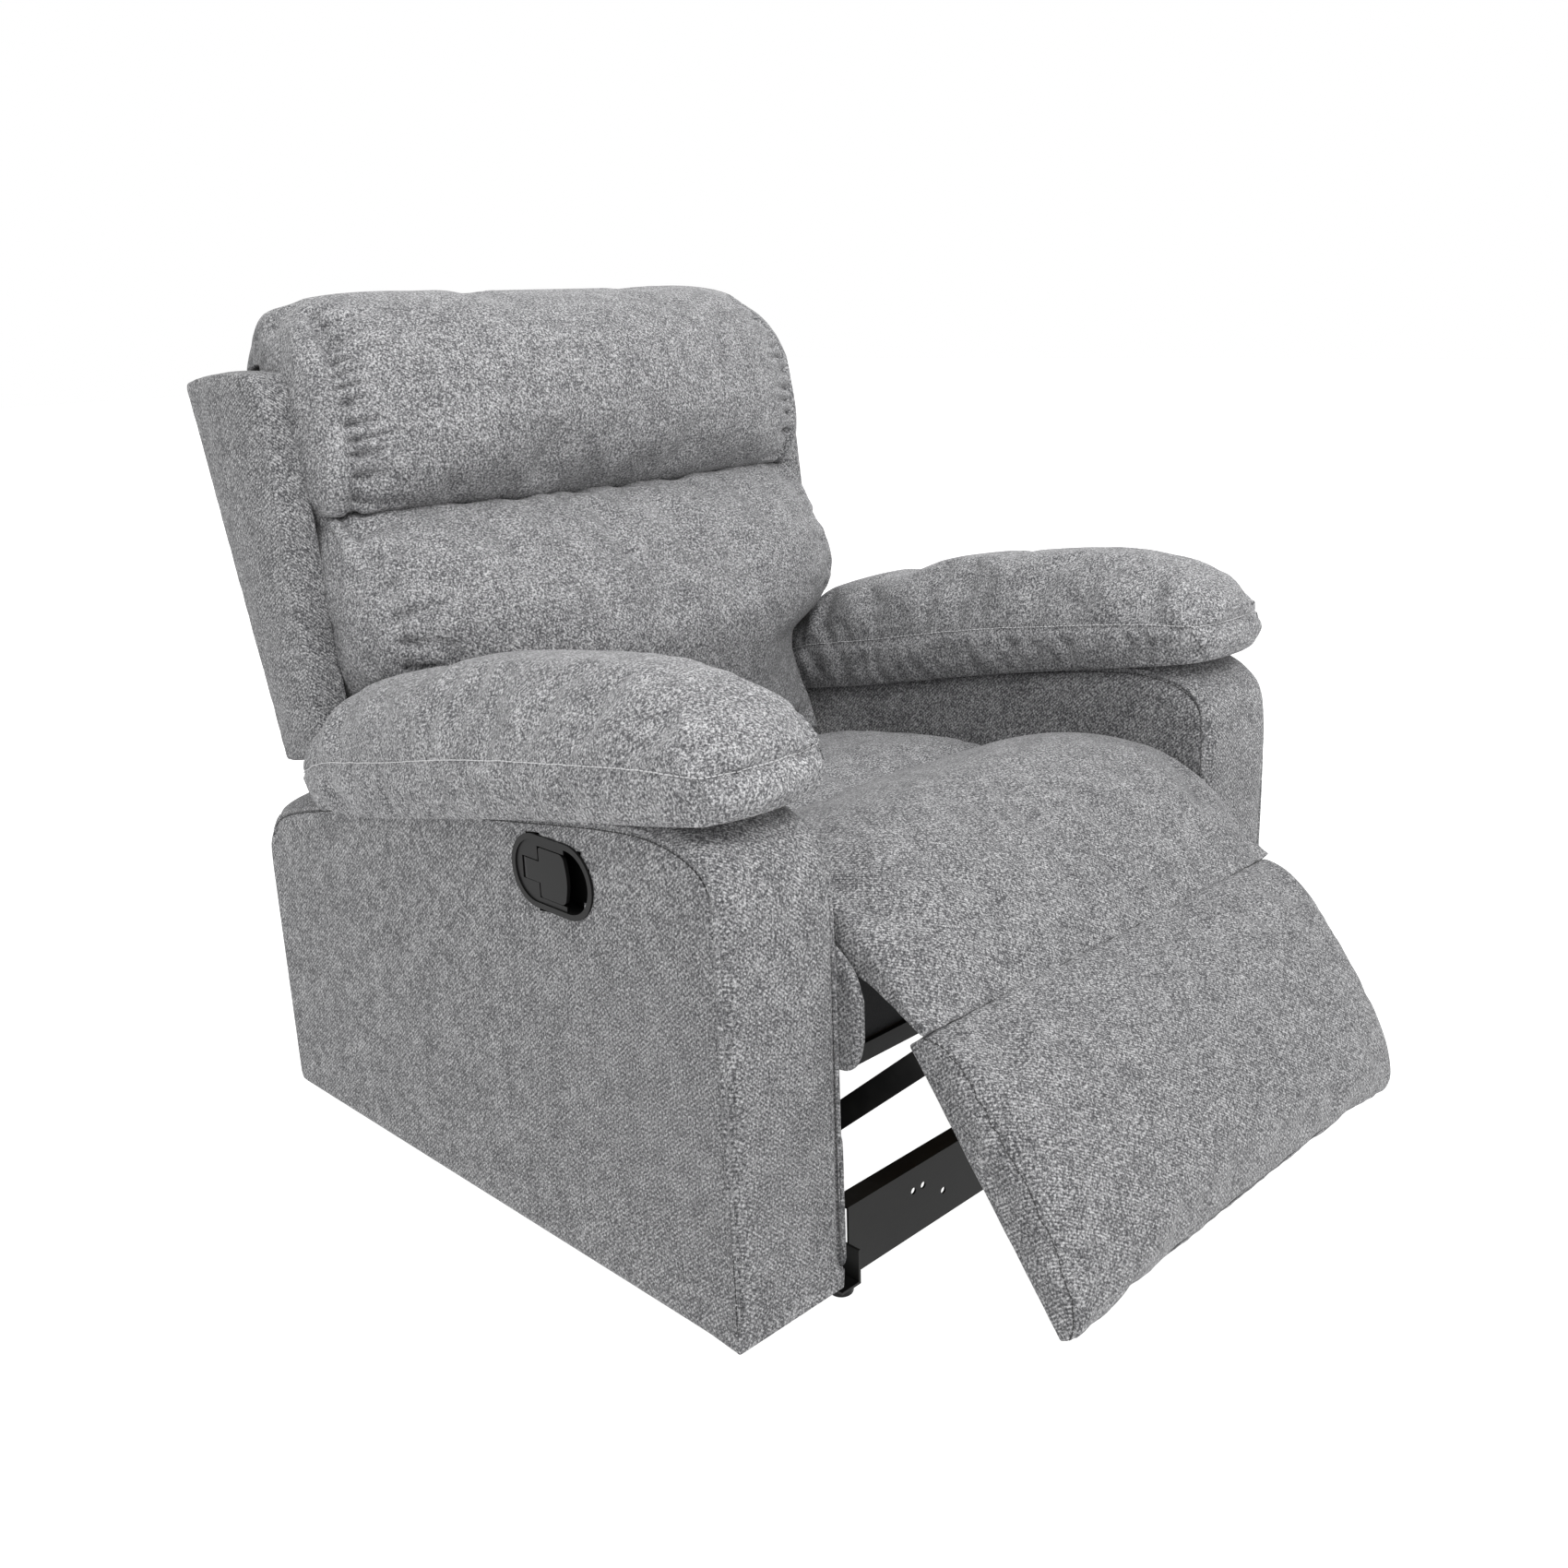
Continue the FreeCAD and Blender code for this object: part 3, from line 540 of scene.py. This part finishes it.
def liftOff(piece, path, height):
    # the nearest places on a piece's surface, a little above it
    corners = [vertex.co for vertex in piece.data.vertices]
    tree = BVHTree.FromPolygons(corners, [face.vertices for face in piece.data.polygons])
    result = []
    for spot in path:
        place, normal, _, _ = tree.find_nearest(spot)
        result.append(place + normal * height)
    return result


def rowTree(row, samples):
    # a search tree of places along a sewn line, and how many there are
    tree = KDTree(samples * (len(row) - 1))
    count = 0
    for first, second in zip(row, row[1:]):
        for step in range(samples):
            tree.insert(first.lerp(second, step / samples), count)
            count += 1
    tree.balance()
    return tree, count


def crease(piece, row, reach, depth):
    # press a sewn line into the surface
    tree, _ = rowTree(row, 4)
    moves = []
    for vertex in piece.data.vertices:
        off = tree.find(vertex.co)[2]
        if off < reach:
            moves.append((vertex, vertex.normal * depth * (1 - (off / reach) ** 2)))
    for vertex, move in moves:
        vertex.co -= move
    piece.data.update()


def gather(piece, row, reach, depth, count, inboard=False):
    # short creases that run off a sewn line, each deepest beside it and fading out
    tree, total = rowTree(row, 8)
    moves = []
    for vertex in piece.data.vertices:
        spot, number, off = tree.find(vertex.co)
        outboard = inboard and abs(vertex.co.x) > abs(spot.x)
        if off < reach and 0 < number < total - 1 and not outboard:
            along = number / total
            length = reach * (0.75 + 0.25 * math.sin(23 * along))
            fade = max(1 - off / length, 0) ** 1.2 * min(1, off / (0.10 * reach))
            wave = 0.5 + 0.5 * math.cos(2 * math.pi * count * (along + 0.015 * math.sin(19 * along)))
            moves.append((vertex, vertex.normal * depth * fade * wave ** 3))
    for vertex, move in moves:
        vertex.co -= move
    piece.data.update()


# ---- the cushions
armSide = {"inner": 311.0, "outer": 490.0}


def pillowShape(side):
    fall = smoothCurve([(0, 0, 588), (0.1, 72, 584), (0.28, 200, 566), (0.5, 360, 541), (0.74, 520, 508),
                        (0.92, 660, 482), (1, 722, 462)])
    floorCurve = smoothCurve([(0, 6, 543), (0.1, 74, 531), (0.3, 200, 506), (1, 722, 405)])
    crownCurve = smoothCurve([(0, 10, 604), (0.07, 50, 630), (0.2, 145, 640), (0.45, 330, 622),
                              (0.7, 500, 592), (0.9, 650, 548), (1, 718, 500)])

    def shape(a, b, c):
        # a runs across, b from front to rear, c from bottom to top
        across = 2 * a - 1
        pinch = 1 - 0.10 * (abs(2 * b - 1) ** 6)
        mid = (armSide["inner"] + armSide["outer"]) / 2
        half = (armSide["outer"] - armSide["inner"]) / 2 * pinch
        y0, zSeam = fall(b)
        _, zLow = floorCurve(b)
        _, zHigh = crownCurve(b)
        seat = 0.62
        tuck = 1 - 0.13 * (1 - min(c / seat, 1)) ** 1.5
        if c <= seat:
            z = zLow + (zSeam - zLow) * (c / seat)
        else:
            rise = (c - seat) / (1 - seat)
            z = zSeam + (zHigh - zSeam) * math.sin(rise * math.pi / 2) * (1 - 0.35 * abs(across) ** 5)
            tuck = math.cos(rise * math.pi / 2 * 0.34)
        roundEnd = 12 * (across * across) * (1 if b < 0.5 else -1) * (abs(2 * b - 1) ** 10)
        swell = -10 * math.sin(min(c / seat, 1) * math.pi) * (1 - min(b / 0.06, 1))
        x = mid + across * half * tuck
        return side * x, y0 + roundEnd + swell, z
    return shape


def makePillow(name, side, cloth, thread, tree):
    steps = (26, 92, 18)
    grid = BoxGrid(steps)
    piece = grid.mesh(name, pillowShape(side))
    if side < 0:
        piece.data.flip_normals()
    seamLevel = 11
    held = {}
    for number, (a, b, c) in enumerate(grid.keys):
        onEdge = a in (0, steps[0]) or b in (0, steps[1])
        if c == seamLevel and onEdge:
            held[number] = 1.0
        elif c == 0:
            held[number] = 1.0
        elif b in (0, steps[1]) and a in (0, steps[0]):
            held[number] = 0.6
    loop = [(0, b) for b in range(steps[1], -1, -1)] + [(a, 0) for a in range(1, steps[0] + 1)]
    loop += [(steps[0], b) for b in range(1, steps[1] + 1)]
    inflate(piece, held, puffs["pillow"])
    piece.data.update()
    normals = {}
    for a, b in loop:
        number = grid.index[(a, b, seamLevel)]
        normals[number] = piece.data.vertices[number].normal.copy()
    for number, normal in normals.items():
        piece.data.vertices[number].co -= normal * 0.0032
    seam = [grid.spot(piece, a, b, seamLevel) for a, b in loop]
    upper = [grid.spot(piece, a, b, seamLevel + 1) for a, b in loop]
    corners = []
    darts = []
    for a in (0, steps[0]):
        darts.append([grid.spot(piece, a, 0, c) for c in range(3, seamLevel + 4)])
        inward = 6 if a == 0 else steps[0] - 6
        for end in (grid.index[(inward, 0, seamLevel)], grid.index[(a, 7, seamLevel)]):
            corners.append([grid.spot(piece, a, 0, seamLevel),
                            piece.data.vertices[end].co.copy()])
    refine(piece, 1)
    for dart in darts:
        crease(piece, dart, 0.009, 0.0045)
    for corner in corners:
        gather(piece, corner, 0.055, 0.0042, 3)
    path = [low.lerp(high, 0.42) for low, high in zip(seam, upper)]
    sewPath(name + "Stitches", [liftOff(piece, path, 0.0003)], tree, thread, "base")
    suffix = "left" if side > 0 else "right"
    dress(piece, cloth, ["arm_pillow_" + suffix], "base")


# ---- arms: one upholstered shell each, with a front border that runs up and over the top
armSkin = [(0, -12, 50), (0.12, -12.5, 200), (0.25, -13, 380), (0.31, -12, 450), (0.36, -3, 490),
           (0.41, 24, 516), (0.46, 66, 529), (0.52, 130, 528), (0.62, 290, 504), (0.75, 480, 472),
           (0.87, 660, 438), (0.95, 785, 402), (1.0, 823, 362)]
armShape = {"inner": 332.5, "outer": 480.0, "dome": 13.0, "welt": 0.0028}


def makeArm(name, side, cloth, thread, tree):
    suffix = "left" if side > 0 else "right"
    skin = smoothCurve(armSkin)
    steps = (20, 110, 14)
    grid = BoxGrid(steps)
    hemCurve = smoothCurve([(0, -11, 21), (0.3, 60, 21), (0.5, 180, 21), (0.8, 600, 21), (1, 821, 21)])

    def shape(a, b, c):
        across = 2 * a - 1
        y, z = skin(b)
        top = min(max((b - 0.34) / 0.1, 0), 1)
        back = min(max((b - 0.95) / 0.05, 0), 1)
        edge = abs(across) ** 9
        if c > 0.999:
            y += (1 - top) * 7 * edge - back * 6 * edge
            z += top * (armShape["dome"] * (1 - across * across) - 7 * edge)
        lowY, lowZ = hemCurve(b)
        belly = 1.0 * math.sin(math.pi * c) * math.sin(math.pi * min(b * 1.4, 1))
        x = armShape["inner"] + (armShape["outer"] - armShape["inner"]) * a
        x += belly * (1 if a > 0.5 else -0.1) * abs(across) ** 3
        place = (side * x, lowY + (y - lowY) * c, lowZ + (z - lowZ) * c)
        return place

    piece = grid.mesh(name, shape)
    if side < 0:
        piece.data.flip_normals()
    edges = []
    for a in (0, steps[0]):
        edges.append([grid.spot(piece, a, b, steps[2]) for b in range(steps[1] - 1)])
    inside = []
    beside = []
    for a, wall in ((1, 0), (steps[0] - 1, steps[0])):
        inside.append([grid.spot(piece, a, b, steps[2]) for b in range(steps[1] - 1)])
        beside.append([grid.spot(piece, wall, b, steps[2] - 1) for b in range(steps[1] - 1)])
    refine(piece, 1)
    grooves = []
    for edge, inner, outer in zip(edges, inside, beside):
        crease(piece, [low.lerp(high, 0.75) for low, high in zip(edge, inner)], 0.0055, 0.0030)
        sunk = [low + (high - low).normalized() * 0.0055 for low, high in zip(edge, outer)]
        crease(piece, sunk, 0.0055, 0.0036)
        grooves.append(sunk)
    if suffix == "right":
        cutHandleHole(piece)
    for word, edge in zip(("Inner", "Outer"), edges):
        weltPath(name + word + "Welt", liftOff(piece, edge, 0.0002), armShape["welt"], cloth, "base")
    # the near-black stitch rows in the grooves are painted shade along the seams
    sewPath(name + "Stitches", [liftOff(piece, row, 0.0002) for row in grooves], tree, thread, "base")
    nodes = ["arm_cover_" + suffix, "arm_front_panel_" + suffix]
    return dress(piece, cloth, nodes, "base")


def cutHandleHole(piece):
    # open the cover's outer wall behind the release handle's rim
    low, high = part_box("release_bezel")
    centre = (low + high) / 2
    reach = (high.y - low.y) / 2 - 0.003
    tall = (high.z - low.z) / 2 - 0.003
    sheet = bmesh.new()
    sheet.from_mesh(piece.data)
    gone = []
    for face in sheet.faces:
        spot = face.calc_center_median()
        over = max(abs(spot.y - centre.y) - (reach - tall), 0)
        if spot.x < low.x + 0.02 and math.hypot(over, spot.z - centre.z) < tall - 0.0015:
            gone.append(face)
    bmesh.ops.delete(sheet, geom=gone, context="FACES")
    sheet.to_mesh(piece.data)
    sheet.free()


# ---- back, seat and footrest cushions
headrest = {"half": 392.0, "setback": 62.0, "gusset": 3}
lumbar = {"lowHalf": 317.0, "highHalf": 390.0, "setback": 88.0, "gusset": 2}


def boxSeams(grid, panels, fixed):
    # the vertices on the box edges that join the named faces, a, b or c at 0 or 1, and on the fixed face
    held = {}
    for number, key in enumerate(grid.keys):
        sides = set()
        for axis, letter in enumerate("abc"):
            if key[axis] == 0:
                sides.add(letter + "0")
            if key[axis] == grid.steps[axis]:
                sides.add(letter + "1")
        if fixed in sides:
            held[number] = 1.0
        for first, second in panels:
            if first in sides and second in sides:
                held[number] = 1.0
    return held


def gussetRows(piece, grid, place, first, last):
    # the sewn lines between a cushion's face and its side strips, as points of the front panel
    rows = []
    for a in (place, grid.steps[0] - place):
        rows.append([grid.spot(piece, a, b, grid.steps[2])
                     for b in range(first, last + 1)])
    return rows


def makeHeadrest(cloth):
    frontCurve = smoothCurve([(0, 744, 746), (0.06, 706, 753), (0.2, 683, 800), (0.45, 686, 872),
                              (0.68, 706, 930), (0.86, 748, 978), (1.0, 806, 1000)])
    rearCurve = smoothCurve([(0, 834, 712), (0.5, 872, 822), (0.8, 896, 905), (0.86, 903, 924),
                             (1, 967, 911)])
    steps = (84, 48, 18)
    grid = BoxGrid(steps)

    def shape(a, b, c):
        across = 2 * a - 1
        fy, fz = frontCurve(b)
        ry, rz = rearCurve(b)
        dip = 13 * (1 - across * across) * (1 - min(b / 0.2, 1))
        fy += headrest["setback"] * abs(across) ** 4 * (0.55 + 0.45 * math.sin(math.pi * min(b, 0.9)))
        fz -= 26 * abs(across) ** 7 * b * b + dip
        rz -= 5 * abs(across) ** 7 * b * b
        half = headrest["half"] - 26 * b ** 5 - 7 * (1 - b) ** 6
        over = 36 * math.sin(math.pi * c) * (b ** 8)
        return across * (half - 6 * (1 - c)), ry + (fy - ry) * c, rz + (fz - rz) * c + over
    piece = grid.mesh("headrestCushion", shape)
    seams = [("a0", "c1"), ("a1", "c1"), ("a0", "b1"), ("a1", "b1"), ("b0", "c1"), ("b0", "c0")]
    held = boxSeams(grid, seams, "c0")
    inflate(piece, held, puffs["headrest"])
    gusset = gussetRows(piece, grid, headrest["gusset"], 1, steps[1] - 3)
    refine(piece, 1)
    for row in gusset:
        crease(piece, row, 0.010, 0.006)
        gather(piece, row, 0.080, 0.014, 12, True)
    return dress(piece, cloth, ["headrest_cushion"], "back")


def makeLumbar(cloth):
    frontCurve = smoothCurve([(0, 606, 366), (0.1, 603, 404), (0.3, 594, 486), (0.48, 582, 560),
                              (0.62, 584, 618), (0.78, 618, 680), (0.91, 660, 735), (1.0, 714, 758)])
    rearCurve = smoothCurve([(0, 660, 372), (0.25, 740, 430), (1, 836, 716)])
    steps = (76, 60, 14)
    grid = BoxGrid(steps)

    def shape(a, b, c):
        across = 2 * a - 1
        fy, fz = frontCurve(b)
        ry, rz = rearCurve(b)
        spread = min(max((b - 0.38) / 0.13, 0), 1)
        spread = spread * spread * (3 - 2 * spread)
        half = lumbar["lowHalf"] - 4 + (lumbar["highHalf"] - lumbar["lowHalf"]) * spread
        low = min(b / 0.3, 1)
        fy += lumbar["setback"] * (0.25 + 0.75 * low) * abs(across) ** 4 - 8 * (1 - across * across) * b
        fz -= 13 * (1 - across * across) * max(b - 0.85, 0) / 0.15
        return across * half, ry + (fy - ry) * c, rz + (fz - rz) * c
    piece = grid.mesh("lumbarCushion", shape)
    held = boxSeams(grid, [("a0", "c1"), ("a1", "c1"), ("b1", "c1"), ("b0", "c1")], "c0")
    inflate(piece, held, puffs["lumbar"])
    gusset = gussetRows(piece, grid, lumbar["gusset"], int(0.5 * steps[1]), steps[1] - 1)
    refine(piece, 1)
    for row in gusset:
        crease(piece, row, 0.010, 0.006)
        gather(piece, row, 0.095, 0.014, 6, True)
    return dress(piece, cloth, ["lumbar_cushion"], "back")


def makeSeatCushion(cloth):
    topCurve = smoothCurve([(0, 304, 388), (0.12, 330, 396), (0.6, 500, 378), (1, 596, 364)])
    steps = (70, 36, 8)
    grid = BoxGrid(steps)

    def shape(a, b, c):
        across = 2 * a - 1
        y, z = topCurve(b)
        y -= 34 * (1 - across * across) * (1 - b)
        z += 7 * (1 - across ** 4) * math.sin(math.pi * b) - 6 * abs(across) ** 6
        return across * 315.5, y, 311 + (z - 311) * c
    piece = grid.mesh("seatCushion", shape)
    held = boxSeams(grid, [("c1", "a0"), ("c1", "a1"), ("c1", "b0"), ("c1", "b1")], "c0")
    inflate(piece, held, puffs["seat"])
    refine(piece, 1)
    return dress(piece, cloth, ["seat_cushion"], "seat")


kneePad = {"half": 316.5, "fall": 32.0}


def makeKneePad(cloth):
    topCurve = smoothCurve([(0, 300, 385), (0.1, 272, 404), (0.25, 205, 432), (0.42, 120, 455),
                            (0.56, 50, 456), (0.67, 0, 440), (0.78, -42, 408), (0.89, -78, 368),
                            (1.0, -112.5, 331)])
    lowCurve = smoothCurve([(0, 300, 311), (0.42, 120, 311), (0.6, 45, 318), (0.72, 8, 350), (0.84, -28, 358),
                            (1.0, -101, 322)])
    steps = (76, 72, 8)
    grid = BoxGrid(steps)

    def shape(a, b, c):
        across = 2 * a - 1
        y, z = topCurve(b)
        ly, lz = lowCurve(b)
        drop = kneePad["fall"] * abs(across) ** 5 * math.sin(math.pi * (0.12 + 0.88 * b)) ** 0.7
        y += 12 * (1 - across * across) * (1 - min(b / 0.12, 1)) * -2.6 + 4 * abs(across) ** 5
        z = max(z - drop, lz + 4)
        return across * kneePad["half"], ly + (y - ly) * c, lz + (z - lz) * c
    piece = grid.mesh("kneePad", shape)
    piece.data.flip_normals()
    held = boxSeams(grid, [("c1", "a0"), ("c1", "a1"), ("c1", "b0"), ("c1", "b1"), ("b1", "c0")], "c0")
    inflate(piece, held, puffs["seat"])
    refine(piece, 1)
    dress(piece, cloth, ["knee_pad"], None)
    tuple(point(0, -52, 392))
    tuple(point(0, -104, 332))
    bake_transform(piece)
    return piece


footrest = {"slope": 53.13, "topY": -111.0, "topZ": 331.0, "length": 300.0, "half": 318.0}


def makeFootrest(cloth, thread, tree):
    slope = math.radians(footrest["slope"])
    outerCurve = smoothCurve([(0, 0.5, 3), (0.07, 21, 19), (0.25, 75, 28), (0.55, 165, 30), (0.8, 240, 22),
                              (0.94, 284, 7), (1.0, 299, -8)])
    steps = (76, 42, 6)
    grid = BoxGrid(steps)

    def shape(a, b, c):
        across = 2 * a - 1
        down, out = outerCurve(b)
        out = out - 13 * abs(across) ** 7
        backOut = -34.6
        backDown = 0.5 + (footrest["length"] - 4) * b
        down = backDown + (down - backDown) * c
        out = backOut + (out - backOut) * c
        y = footrest["topY"] - down * math.cos(slope) - out * math.sin(slope)
        z = footrest["topZ"] - down * math.sin(slope) + out * math.cos(slope)
        return across * footrest["half"], y, z
    piece = grid.mesh("footrestPad", shape)
    piece.data.flip_normals()
    joins = [("c1", "a0"), ("c1", "a1"), ("c1", "b0"), ("c0", "a0"), ("c0", "a1"), ("c0", "b1")]
    held = boxSeams(grid, joins, "c0")
    inflate(piece, held, puffs["footrest"])
    seams = [[grid.spot(piece, a, b, steps[2]) for b in range(steps[1] + 1)]
             for a in (0, steps[0])]
    refine(piece, 1)
    for path in seams:
        crease(piece, path, 0.007, 0.0036)
    # near-black stitch rows along the side seams: painted shade
    sewPath("footrestStitches", [liftOff(piece, path, 0.0001) for path in seams], tree, thread, "footrest")
    return dress(piece, cloth, ["footrest_pad"], "footrest")


def makeWing(name, side, cloth):
    suffix = "left" if side > 0 else "right"
    frontCurve = smoothCurve([(0, 738, 476), (0.3, 756, 604), (0.7, 779, 790), (0.93, 795, 896),
                              (1.0, 812, 914)])
    rearCurve = smoothCurve([(0, 834, 446), (0.97, 973, 893), (1.0, 970, 902)])
    steps = (8, 68, 18)
    grid = BoxGrid(steps)

    def shape(a, b, c):
        fy, fz = frontCurve(b)
        ry, rz = rearCurve(b)
        edge = abs(2 * c - 1) ** 10
        x = 392 + 47 * a - 3 * edge * a + 2.5 * a * math.sin(math.pi * c)
        rise = 5 * math.sin(math.pi * c) * (b ** 12 - (1 - b) ** 12)
        return side * x, ry + (fy - ry) * c, rz + (fz - rz) * c + rise
    piece = grid.mesh(name, shape)
    if side < 0:
        piece.data.flip_normals()
    joins = [("a1", "c1"), ("a1", "c0"), ("a0", "c1"), ("a1", "b1"), ("a1", "b0"), ("a0", "c0")]
    held = boxSeams(grid, joins, "a0")
    inflate(piece, held, puffs["wing"])
    refine(piece, 1)
    return dress(piece, cloth, ["back_wing_" + suffix], "back")


backSlope = {"lean": 17.0, "footY": 836, "footZ": 442}


def backPlace(along, forward):
    # (y, z) of a place in the back: up it from its foot, and forward of its rear face
    lean = math.radians(backSlope["lean"])
    y = backSlope["footY"] + along * math.sin(lean) - forward * math.cos(lean)
    z = backSlope["footZ"] + along * math.cos(lean) + forward * math.sin(lean)
    return y, z


def makeRearPanel(cloth, thread, tree):
    steps = (56, 34, 2)
    grid = BoxGrid(steps)

    def shape(a, b, c):
        across = 2 * a - 1
        along = 3 + 478 * b
        forward = 14 * c - (1 - c) * 3.0 * (1 - across ** 6) * (1 - (2 * b - 1) ** 6)
        y, z = backPlace(along, forward)
        return across * 391.5, y, z
    piece = grid.mesh("backRearPanel", shape)
    rows = []
    for a in (2, steps[0] - 2):
        rows.append([grid.spot(piece, a, b, 0) for b in range(steps[1] + 1)])
    rows.append([grid.spot(piece, a, 32, 0) for a in range(2, steps[0] - 1)])
    refine(piece, 1)
    # near-black stitch rows along the seams: painted shade
    sewPath("rearPanelStitches", [liftOff(piece, row, 0.0003) for row in rows], tree, thread, "back")
    return dress(piece, cloth, ["back_rear_panel"], "back")


def makeBackHem(cloth):
    # the cloth that wraps the back frame's lower end, below the rear panel
    grid = BoxGrid((40, 6, 6))

    def shape(a, b, c):
        y, z = backPlace(-60 + 66 * b, 7 + 73 * c)
        return 294.5 * (2 * a - 1), y, z
    piece = grid.mesh("backHem", shape)
    for face in piece.data.polygons:
        face.use_smooth = False
    return dress(piece, cloth, None, "back")


def makeSkirt(name, side, cloth):
    suffix = "left" if side > 0 else "right"
    topCurve = smoothCurve([(0, -34, 340), (0.1, -20, 372), (0.2, 20, 398), (0.35, 95, 415), (0.6, 260, 392),
                            (1, 574, 352)])
    lowCurve = smoothCurve([(0, -34, 300), (0.06, -26, 272), (0.12, -6, 260), (0.5, 240, 259), (1, 574, 262)])
    steps = (3, 50, 12)
    grid = BoxGrid(steps)

    def shape(a, b, c):
        ty, tz = topCurve(b)
        ly, lz = lowCurve(b)
        edge = max(abs(2 * c - 1), abs(2 * b - 1)) ** 14
        x = 321 + (9.2 - 3 * edge) * a
        return side * x, ly + (ty - ly) * c, lz + (tz - lz) * c
    piece = grid.mesh(name, shape)
    if side < 0:
        piece.data.flip_normals()
    refine(piece, 1)
    return dress(piece, cloth, ["seat_skirt_" + suffix], "seat")


# ---- build
makeCamera()
makeStudio()
fabric = makeMarl("marlFabric")
# a lighter copy of the same fabric for the cushions that face the light: painted light
fabricPaintedLight = makeMarl("marlFabricPaintedLight", 1.08, 0.4)
lightThread = makeThread("paleThread", 0.60)
# near-black thread that stands in for the shade in the seam grooves: painted shade
seamShadeThread = makeThread("seamShadeThread", 0.03)
plastic = makeBlackPlastic()
steel = makeBlackSteel()
zinc = makeZincSteel()
board = makeBoard()
dustCloth = makeDustCloth()
print("materials made")

finishes = {"frame_wood": board, "zinc_steel": zinc, "black_plastic": plastic, "black_cloth": dustCloth,
            "black_steel": steel, "marl_fabric": fabric}
slots = {part["node"]: part["material_slot"] for part in frame["record"]["subparts"]}
for nodeName, part in frame["nodes"].items():
    part.data.materials.clear()
    part.data.materials.append(finishes[slots[nodeName]])

stitches = stitchTree()
for sideName, side in (("Right", -1), ("Left", 1)):
    makeArm("arm" + sideName, side, fabric, seamShadeThread, stitches)
    print("arm", sideName)
    makePillow("armPillow" + sideName, side, fabricPaintedLight, lightThread, stitches)
    print("pillow", sideName)
    makeWing("backWing" + sideName, side, fabric)
    makeSkirt("seatSkirt" + sideName, side, fabric)
makeHeadrest(fabricPaintedLight)
print("headrest")
makeLumbar(fabricPaintedLight)
print("lumbar")
makeSeatCushion(fabricPaintedLight)
makeKneePad(fabric)
makeFootrest(fabric, seamShadeThread, stitches)
print("seat and footrest")
makeRearPanel(fabric, seamShadeThread, stitches)
makeBackHem(fabric)
